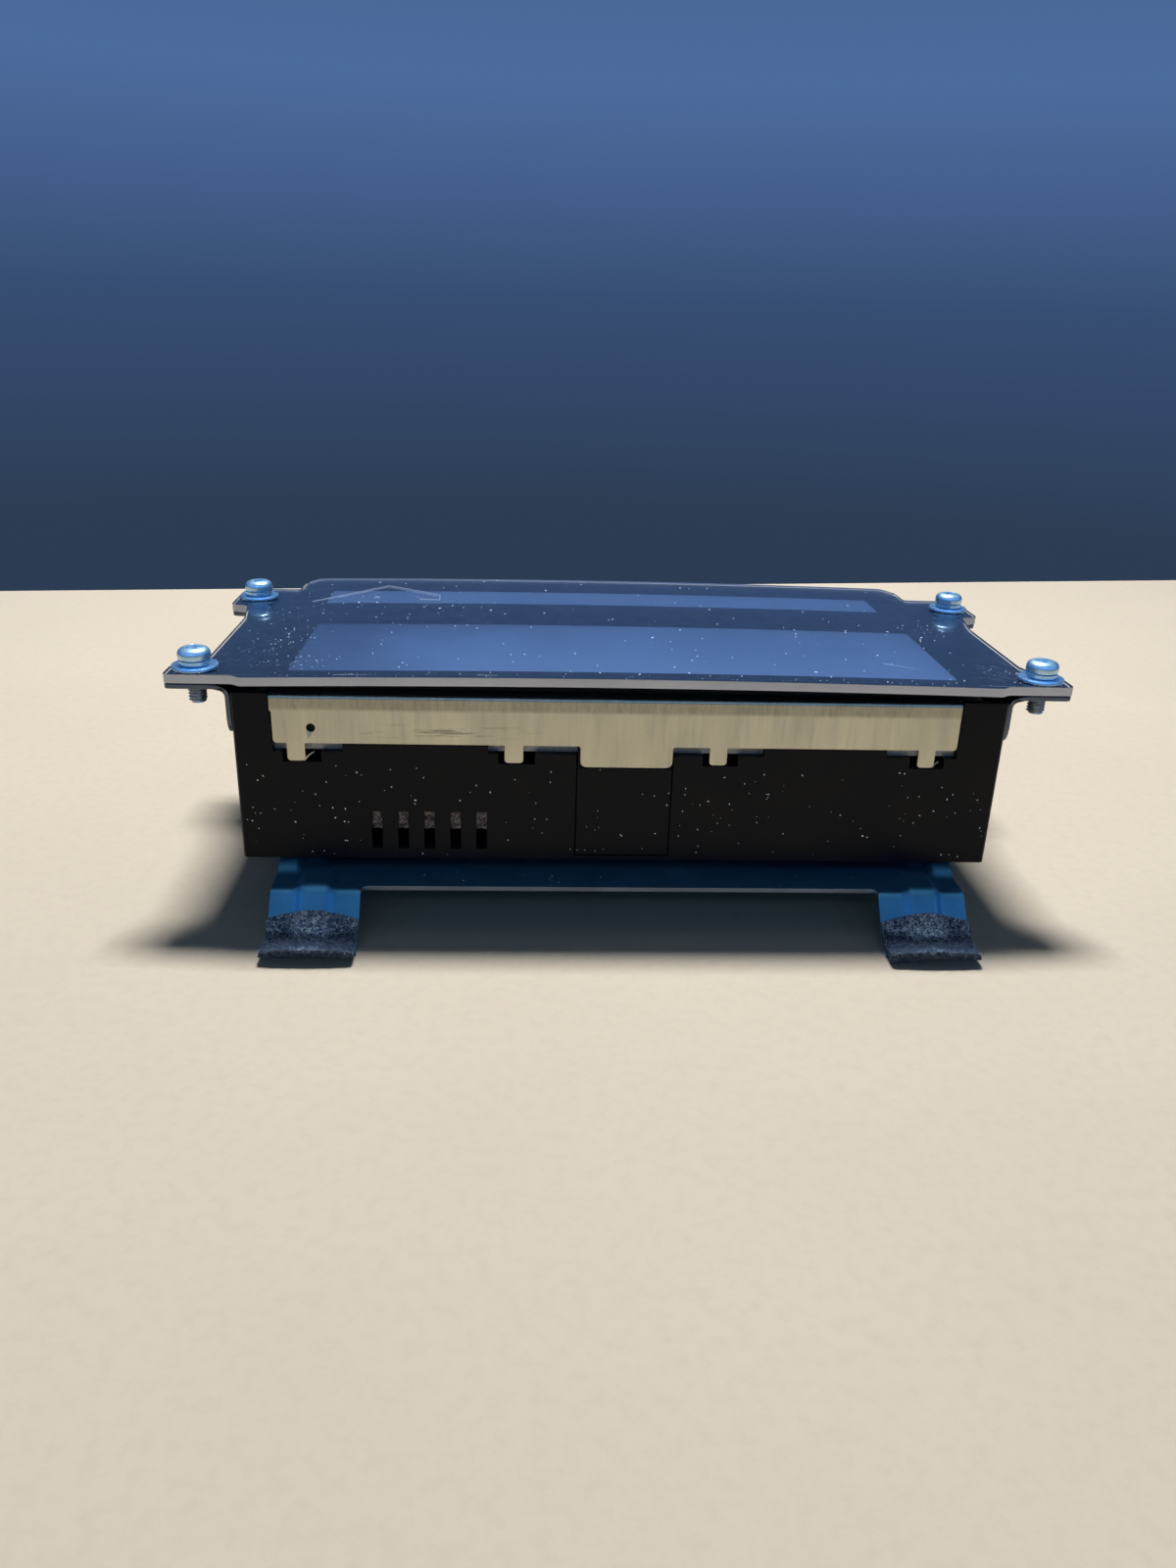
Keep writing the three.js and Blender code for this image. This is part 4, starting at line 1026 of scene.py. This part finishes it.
def spaced(stops, step):
    xs = []
    for a, b in zip(stops, stops[1:]):
        count = max(1, round((b - a) / step))
        xs += [a + (b - a) * k / count for k in range(count)]
    return xs + [stops[-1]]


def rim_look(place, normal):
    """The blanked rims: bare steel along the web, and the lighter tray zinc down the sides of the legs as a painted
    highlight along their edges.
    """
    if abs(normal.y) > 0.8 and abs(place.x) < FOOT_X0 + 1 and place.z > WEB_TOP - STEEL - 0.2:
        return "cut_steel"
    # painted highlight: faces turned to the sides take the lighter zinc
    return "zinc_steel" if abs(normal.x) > 0.8 else "bracket_zinc"


def make_bracket():
    x, y = FOOT_X0, WEB_FRONT
    over = 0.6
    outline = corner_curve([
        (-x - over, -y - 2), (-x, -y - 2), (-x, -y, 2), (x, -y, 2), (x, -y - 2), (x + over, -y - 2),
        (x + over, y + 2), (x, y + 2), (x, y, 2), (-x, y, 2), (-x, y + 2), (-x - over, y + 2),
    ], 8)
    window = box_outline(-46, 46, -34, 34, 5)
    web = linked("bracket_web", plate("bracket_web", [outline, window], WEB_TOP - STEEL, WEB_TOP, 0.0, 0))
    xs = spaced([57.5, 62, 64.4, 70.1, 71.2, 73.2, 77], 0.5)
    leg = sheet_shape(leg_path(), xs, -STEEL, 0.0)
    for tag, (sx, sy) in QUARTERS.items():
        part = solid_of("leg_" + tag, *mirror_shape(leg, sx, sy))
        cut_or_join(web, linked("leg_" + tag, part), "UNION")
    for side in (-1, 1):
        rail_outline = [Vector((side * px, py)) for px, py in ((57.5, -20.6), (77, -20.6), (77, 20.6), (57.5, 20.6))]
        rail = plate("rail", [rail_outline], WEB_TOP - STEEL, WEB_TOP, 0.0, 0)
        cut_or_join(web, linked("rail", rail), "UNION")
    for sx in (-1, 1):
        for sy in (-1, 1):
            verts, faces = lathe([(0, 5), (1.8, 5), (1.8, 15), (0, 15)], 28)
            verts = [(x + sx * BRACKET_SCREW[0], y + sy * BRACKET_SCREW[1], z) for x, y, z in verts]
            cut_or_join(web, linked("drill", solid_of("drill", verts, faces)), "DIFFERENCE")
    mesh = web.data
    rounded(mesh, 0.13, 2, 55)
    dress(mesh, ["bracket_zinc", "cut_steel", "zinc_steel"], rim_look)
    bpy.data.objects.remove(web)
    settle("bracket_pressing", mesh, ["mounting_bracket"], 30)


# ---- felt pads ----
def fibres(rng, anchors, count, long, radius, lift):
    """Loose fibres rooted on (place, normal) anchors."""
    shapes = []
    for _ in range(count):
        place, normal = anchors[rng.randrange(len(anchors))]
        place, normal = Vector(place), Vector(normal)
        drift = Vector((rng.uniform(-1, 1), rng.uniform(-1, 1), rng.uniform(-1, 1)))
        along = (drift - normal * drift.dot(normal)).normalized()
        size = rng.uniform(0.5, 1.0) * long
        start = place - normal * 0.05 + along * rng.uniform(-0.3, 0.3)
        middle = start + along * size * 0.5 + normal * lift * rng.uniform(0.4, 1.2)
        side = along.cross(normal) * rng.uniform(-0.4, 0.4) * size
        end = start + along * size * 0.9 + side + normal * lift * rng.uniform(-0.2, 1.6)
        shapes.append(strand([start, middle, end], radius))
    return gather(shapes)


def make_foot_pads():
    """Felt over each toe: arched across, curled up a little at its free edge and rounded at its rims."""
    tip = [(y, STEEL + curl, -0.25, 0.97) for y, curl in ((-71.2, 0.42), (-70.5, 0.26), (-69.8, 0.12))]
    path = tip + [p for p in leg_path() if p[0] < -SLOPE_START and p[1] <= PAD_TOP + 0.25]
    low_x, high_x = FOOT_X0 + 0.1, FOOT_X1 + 0.1
    xs = spaced([low_x, 62, 64.6, 69.9, 72.5, high_x], 0.55)
    middle, half = (low_x + high_x) / 2, (high_x - low_x) / 2
    lips = {"front_left": 0.5, "front_right": 1.3, "rear_left": 0.8, "rear_right": 0.5}
    for number, (tag, (sx, sy)) in enumerate(QUARTERS.items()):
        rng = random.Random(40 + number)
        seed = Vector((13.0 * number, 5.0, 2.0))

        def ripple(x, y, z, side):
            arch = 0.75 * (1 - ((x - middle) / half) ** 2) * smooth(-64.0, -70.0, y)
            if side == 0:
                return arch - (0.35 + lips[tag] * smooth(77.0, 58.0, x)) * smooth(-69.2, -70.8, y)
            place = Vector((x, y, z))
            lumps = noise.noise(place * 0.55 + seed) * 0.22 + noise.noise(place * 1.9 + seed) * 0.16
            lumps += noise.noise(place * 4.2 + seed) * 0.09
            rim = min(x - low_x, high_x - x, 1.2) / 1.2
            return arch + lumps - 0.22 * (1 - rim) ** 2

        shape = sheet_shape(path, xs, PAD_GAP, PAD_GAP + PAD_THICK - 0.1, ripple)
        raised = []
        for x, y, z in shape[0]:
            lift = (1 - ((x - middle) / half) ** 2) * smooth(3.6, PAD_TOP + 0.4, z)
            flare = 0.5 * smooth(2.6, 0.8, z) * (1 if x > middle + 5 else 0)
            raised.append((x + flare, y + 1.0 * lift, z + 1.25 * lift))
        shape = (raised, shape[1])
        across, rows = len(xs), len(path)
        size = across * rows
        anchors = []
        for i, (_, _, ny, nz) in enumerate(path):
            for j in range(across):
                place = shape[0][size + i * across + j]
                anchors.append((place, (0, ny, nz)))
                if j in (0, across - 1):
                    anchors.append((place, (-1 if j == 0 else 1, 0, 0.2)))
                if i in (0, rows - 1):
                    anchors += [(place, (0, -1 if i == 0 else 0.6, 0.5))] * 2
        mesh = solid_of("felt_" + tag, *mirror_shape(shape, sx, sy))
        rounded(mesh, 0.3, 3, 55, dissolve=False)
        hair = mesh_of("hair_" + tag, *mirror_shape(fibres(rng, anchors, 900, 1.5, 0.028, 0.13), sx, sy))
        body_faces = len(mesh.polygons)
        whole = merged_mesh("foot_felt_" + tag, [mesh, hair])
        dress(whole, ["foot_felt", "felt_fibre"])
        for face in whole.polygons:
            face.material_index = 0 if face.index < body_faces else 1
        pad = settle("foot_felt_" + tag, whole, ["foot_pad_" + tag], 60)


def make_vent_felt():
    spans = ((-58.5, -28.0, 0.5), (-43.4, -41.8, 0.5), (18.9, 25.6, 0.4))
    bm = bmesh.new()
    bmesh.ops.create_cube(bm, size=1.0)
    for v in bm.verts:
        v.co = Vector([(a + b) / 2 + c * (b - a) for c, (a, b, _) in zip(v.co, spans)])
    for axis, (a, b, step) in enumerate(spans):
        across = Matrix.Identity(3)[axis]
        place = a + step
        while place < b - step / 2:
            slice_at(bm, across * place, across, 1e-6)
            place += step
    bm.normal_update()
    for v in bm.verts:
        lump = noise.noise(v.co * 0.9) * 0.16 + noise.noise(v.co * 2.3) * 0.09 - 0.12
        v.co += v.normal * lump
    bm.normal_update()
    anchors = [(v.co.copy(), v.normal.copy()) for v in bm.verts if v.normal.y < -0.3]
    for v in bm.verts:
        v.co *= MM
    mesh = bpy.data.meshes.new("vent_felt_strip")
    bm.to_mesh(mesh)
    bm.free()
    hair = mesh_of("vent_hair", *fibres(random.Random(9), anchors, 700, 1.3, 0.03, 0.1))
    whole = merged_mesh("vent_felt_strip", [mesh, hair])
    dress(whole, ["vent_felt"])
    felt = settle("vent_felt_strip", whole, ["vent_felt"], 60)


# ---- pieces that keep their CAD shape, with rounded edges ----
def remake(node, name, slot, width, segments=2, names=None, choose=None):
    mesh = NODES[node].data.copy()
    rounded(mesh, width, segments)
    dress(mesh, names or [slot], choose)
    return settle(name, mesh, [node], body=NODES[node]["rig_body"])


def make_box():
    remake("housing", "housing_shell", "housing_black", 0.28, 2)
    remake("front_center_cover", "front_cover_strip", "housing_black", 0.22, 2)
    remake("rear_cover", "rear_cover_plate", "cover_black", 0.25, 2)
    # the tray's front faces take the near-white matt colour, partly painted light
    remake("lcd_rear_frame", "display_tray", "zinc_steel", 0.12, 2, ["zinc_steel", "tray_front_painted_light"],
           lambda c, n: "tray_front_painted_light" if n.y < -0.7 else "zinc_steel")


def make_sockets():
    for side, hand, slot in ((-1, "left", "socket_ivory"), (1, "right", "socket_grey")):
        node = hand + "_connector_socket"

        def choose(c, n, side=side, slot=slot):
            x = abs(c.x - side * 25.0)
            pin = any(abs(x - p) < 0.56 for p in (9, 5.4, 1.8))
            return "pin_metal" if pin and 36.55 < c.y < 43 and 32.0 < c.z < 33.2 else slot

        remake(node, node + "_shell", slot, 0.14, 2, [slot, "pin_metal"], choose)


KEPT = {
    "main_lcd_panel": "display_glass", "strip_lcd_panel": "display_glass",
    "main_light_guide": "light_guide", "strip_light_guide": "light_guide",
    "led_bar": "led_board", "main_board": "circuit_board",
    "main_processor": "chip_black", "memory_chip": "chip_black", "voltage_regulator": "chip_black",
    "power_inductor": "inductor_grey", "input_capacitor": "capacitor_can", "output_capacitor": "capacitor_can",
    "ribbon_cable": "ribbon_film", "ribbon_connector": "socket_ivory",
}


def dress_kept():
    for node, slot in KEPT.items():
        obj = NODES[node]
        obj.data.materials.clear()
        obj.data.materials.append(LOOKS[slot].mat)
        weld = obj.modifiers.new("weld", "WELD")
        weld.merge_threshold = 2e-6
        bevel = obj.modifiers.new("edges", "BEVEL")
        bevel.width, bevel.segments = 0.12 * MM, 2
        bevel.limit_method, bevel.angle_limit = "ANGLE", math.radians(35)


def make_small_screws():
    head = pan_head_mesh("m3_head", 2.8, 1.8, 40, (1.0, 1.5, 0.38, 0.65, 0.26))
    places = []
    for y, word in zip(SIDE_SCREW_Y, ("front", "rear")):
        for side, hand in ((-1, "left"), (1, "right")):
            turn = Matrix.Rotation(side * math.pi / 2, 4, "Y")
            places.append((f"side_screw_{hand}_{word}", (side * 86.6, y, 46), turn, 6))
    for end, word in ((-1, "front"), (1, "rear")):
        for side, hand in ((-1, "left"), (1, "right")):
            places.append((f"board_screw_{word}_{hand}", (side * 66, end * 30, 27.7), Matrix.Identity(4), 6))
            turn = Matrix.Rotation(math.pi, 4, "X")
            low = WEB_TOP + EAR_STEP - STEEL - 0.1
            place = (side * BRACKET_SCREW[0], end * BRACKET_SCREW[1], low)
            places.append((f"bracket_screw_{word}_{hand}", place, turn, 8))
    shanks = {size: mesh_of("m3_shank", *thread_shape(1.5, 0.27, 0.5, -size, 24, 6)) for size in (6, 8)}
    for number, (node, place, turn, size) in enumerate(places):
        mesh = merged_mesh(node + "_m3", [head, shanks[size]])
        spin = Matrix.Rotation(0.7 + number * 1.9, 4, "Z")
        mesh.transform(Matrix.Translation(Vector(place) * MM) @ turn @ spin)
        dress(mesh, ["washer_steel"])
        settle(node + "_m3", mesh, [node], 34)


# ---- wear: torn film, scratches and dust ----
def polyline(points, step=0.8):
    path = []
    for a, b in zip(points, points[1:]):
        a, b = Vector(a), Vector(b)
        count = max(1, int((b - a).length / step))
        path += [a.lerp(b, k / count) for k in range(count)]
    return path + [Vector(points[-1])]


def film_ridge(rng, points, radius, z):
    path = [
        (p.x + rng.uniform(-0.12, 0.12), p.y + rng.uniform(-0.12, 0.12), z + bow(p.x) + rng.uniform(0, 0.05))
        for p in polyline(points)
    ]
    return strand(path, radius, 5, 0.6)


def make_torn_film():
    rng = random.Random(5)
    z = LENS_TOP + 0.10
    lines = [
        ([(-78.4, 19.2), (-72.7, 25.0), (-60.4, 38.0), (-45.6, 27.2)], 0.10),
        ([(-72.2, 24.0), (-60.3, 36.4), (-45.9, 25.9)], 0.06),
        ([(-50.6, 22.4), (-45.2, 21.8)], 0.10),
        ([(-45.6, 27.2), (-45.2, 21.8)], 0.07),
        ([(-62.6, 24.6), (-61.2, 24.2)], 0.15),
    ]
    mesh = mesh_of("torn_film_edges", *gather([film_ridge(rng, line, r, z) for line, r in lines]))
    dress(mesh, ["torn_film"])
    settle("torn_film_edges", mesh, (), 60)


def make_scratches():
    rng = random.Random(21)
    z = LENS_TOP + 0.012
    lines = [
        [(60.0, -31.0), (66.5, -34.4)], [(84.0, -37.5), (87.6, -41.6)], [(82.2, -40.6), (84.8, -42.9)],
        [(-62.8, -45.9), (-55.6, -45.7)], [(-32.2, -45.6), (-27.9, -45.9)],
        [(-88.2, -33.6), (-85.0, -34.9)], [(-89.0, -36.8), (-86.4, -35.5)], [(89.2, -27.5), (90.6, -31.3)],
        [(-79.6, -12.4), (-77.9, -10.9)], [(85.6, -30.2), (87.4, -33.7)],
    ]
    for _ in range(26):
        side = rng.choice((-1, 1))
        x, y = side * rng.uniform(80, 90), rng.uniform(-44, -26)
        a, size = rng.uniform(0, math.pi), rng.uniform(0.7, 2.6)
        lines.append([(x, y), (x + size * math.cos(a), y + size * math.sin(a))])
    shapes = [strand([(p.x, p.y, z + bow(p.x)) for p in polyline(line, 1.0)], 0.018, 4, 0.4) for line in lines]
    mesh = mesh_of("lens_scratches", *gather(shapes))
    # the scratches take the dust material with its painted glow
    dress(mesh, ["dust"])
    settle("lens_scratches", mesh, (), 60)


def fleck(rng, place, normal, size):
    """A small flat crumb: a squashed eight-faced bit of dust."""
    normal = Vector(normal)
    side = normal.cross(Vector((0.3, 0.5, 0.81))).normalized()
    other = normal.cross(side)
    spin = rng.uniform(0, math.pi)
    u = side * math.cos(spin) + other * math.sin(spin)
    v = normal.cross(u)
    long, wide, high = size * rng.uniform(0.8, 2.2), size * rng.uniform(0.5, 1.0), size * rng.uniform(0.3, 0.6)
    centre = Vector(place) + normal * high * 0.4
    verts = [centre + u * long, centre + v * wide, centre - u * long * 0.8, centre - v * wide * 0.9,
             centre + normal * high, centre - normal * high * 0.8]
    faces = [[0, 1, 4], [1, 2, 4], [2, 3, 4], [3, 0, 4], [1, 0, 5], [2, 1, 5], [3, 2, 5], [0, 3, 5]]
    return [tuple(p) for p in verts], faces


def make_dust():
    rng = random.Random(77)
    on_lens = []
    clusters = [(-84, 8, 8, 14, 34), (-80, -20, 7, 12, 40), (-74, -36, 9, 7, 34), (86, -36, 5, 6, 30),
                (80, 4, 8, 10, 14), (-55, 12, 22, 12, 20)]
    for cx, cy, sx, sy, count in clusters:
        for _ in range(count):
            on_lens.append((rng.gauss(cx, sx * 0.5), rng.gauss(cy, sy * 0.5), rng.uniform(0.08, 0.20)))
    for _ in range(150):
        on_lens.append((rng.uniform(-84, 84), rng.uniform(-46, 46), rng.uniform(0.10, 0.26)))
    for _ in range(60):
        on_lens.append((rng.uniform(-84, 84), rng.uniform(-47.2, -44), rng.uniform(0.05, 0.15)))
    shapes = [
        fleck(rng, (x, y, LENS_TOP + bow(x)), (0, 0, 1), size) for x, y, size in on_lens
        if abs(x) < 90 and abs(y) < 47.3 and (abs(x) < 83 or y < 32) and not (abs(x) > 82 and y < -45.6)
        and min(math.hypot(x - px, y - py) for px, py in CORNERS.values()) > 5.3 + size * 2
    ]
    front = []
    for _ in range(210):
        x, z = rng.uniform(-84, 84), rng.uniform(13.5, 39)
        in_slot = -58 < x < -28 and 14.5 < z < 25
        if not in_slot and z <= 35:
            front.append(fleck(rng, (x, BOX_FRONT, z), (0, -1, 0), rng.choice((0.07, 0.09, 0.12, 0.15, 0.18))))
    web = []
    for _ in range(45):
        place = (rng.uniform(-56, 56), rng.uniform(-54.8, -46), WEB_TOP)
        web.append(fleck(rng, place, (0, 0, 1), rng.uniform(0.04, 0.12)))
    for name, parts, slot in (("dust_on_lens", shapes, "lens_acrylic"), ("dust_on_housing", front, "housing_black"),
                              ("dust_on_bracket", web, "bracket_zinc")):
        mesh = mesh_of(name, *gather(parts))
        # the flecks glow a little: painted light
        dress(mesh, ["dust"])
        settle(name, mesh, (), 60)


# ---- studio ----
AMBIENT = 0.03


def make_floor():
    """A pale table top whose far edge stands where the floor ends behind the object."""
    x0, x1, near, far_left, far_right = -3.0, 3.0, -3.0, -0.085, 0.663
    mesh = bpy.data.meshes.new("pale_floor")
    mesh.from_pydata([(x0, near, 0), (x1, near, 0), (x1, far_right, 0), (x0, far_left, 0)], [], [[0, 1, 2, 3]])
    look = Look("pale_floor", (0.66, 0.52, 0.37), 0.75, 0.0, Specular_IOR_Level=0.25)
    fibre = look.noise(0.35, 6, 0.65)
    cloud = look.noise(0.012, 4, 0.55)
    base = look.mix(cloud, (0.63, 0.50, 0.355), (0.69, 0.55, 0.395))
    look.set("Base Color", look.mix(look.range(fibre, 0.45, 0.7, 0.0, 0.35), base, (0.56, 0.44, 0.31)))
    look.bump(look.noise(0.8, 4), 0.03)
    mesh.materials.append(look.mat)
    floor = linked("pale_floor", mesh)


def make_world():
    """A graded surrounding, brighter in front than behind, that hardly lights matt surfaces."""
    world = bpy.data.worlds.new("studio")
    SCENE.world = world
    world.use_nodes = True
    sky = Nodes(world.node_tree)
    back = next(n for n in sky.tree.nodes if n.type == "BACKGROUND")
    way = sky.node("ShaderNodeTexCoord").outputs["Generated"]
    ahead = sky.feed(sky.node("ShaderNodeSeparateXYZ"), Vector=way).outputs
    height = sky.range(ahead["Z"], -1.0, 1.0)
    far = sky.ramp(height, [
        (0.0, (0.020, 0.040, 0.090)), (0.42, (0.026, 0.046, 0.085)), (0.50, (0.038, 0.076, 0.172)),
        (0.575, (0.074, 0.148, 0.340)), (0.61, (0.066, 0.134, 0.300)), (0.65, (0.062, 0.130, 0.290)),
        (0.80, (0.20, 0.32, 0.50)), (1.0, (0.45, 0.58, 0.78)),
    ])
    near = sky.ramp(height, [
        (0.0, (0.020, 0.020, 0.022)), (0.52, (0.022, 0.026, 0.034)), (0.58, (0.06, 0.15, 0.34)),
        (0.66, (0.24, 0.58, 1.3)), (0.80, (0.20, 0.42, 0.90)), (0.88, (0.16, 0.26, 0.42)), (1.0, (0.45, 0.58, 0.78)),
    ])
    sky.feed(back, Color=sky.mix(sky.range(ahead["Y"], -0.25, 0.25), near, far))
    matt = sky.node("ShaderNodeLightPath").outputs["Is Diffuse Ray"]
    sky.feed(back, Strength=sky.range(matt, 0.0, 1.0, 1.0, AMBIENT))


def area_light(name, place, target, wide, high, power, colour):
    data = bpy.data.lights.new(name, "AREA")
    data.shape = "RECTANGLE"
    data.size, data.size_y = wide, high
    data.energy = power
    data.color = colour
    lamp = bpy.data.objects.new(name, data)
    SCENE.collection.objects.link(lamp)
    lamp.location = place
    lamp.rotation_euler = (Vector(target) - Vector(place)).to_track_quat("-Z", "Y").to_euler()


# ---- build ----
make_lens_plate()
make_mask()
make_gaskets()
make_side_bracket("left_side_bracket", -1)
make_side_bracket("right_side_bracket", 1)
make_front_frame()
make_curl("frame_curl_left", (-69.85, 36.5), (-67.7, 38.35), 0.95)
make_curl("frame_curl_right", (69.7, 36.5), (70.7, 37.6), 0.7)
make_corner_stacks()
make_small_screws()
make_bracket()
make_foot_pads()
make_vent_felt()
make_box()
make_sockets()
dress_kept()
make_torn_film()
make_scratches()
make_dust()
make_floor()
make_world()
area_light("soft_key", (0.02, 0.34, 1.02), (0, -0.02, 0.03), 0.30, 0.16, 18.5, (0.80, 0.88, 0.98))
area_light("soft_front", (-0.10, -1.10, 0.72), (0, 0, 0.05), 0.9, 0.12, 0.6, (0.45, 0.70, 1.0))
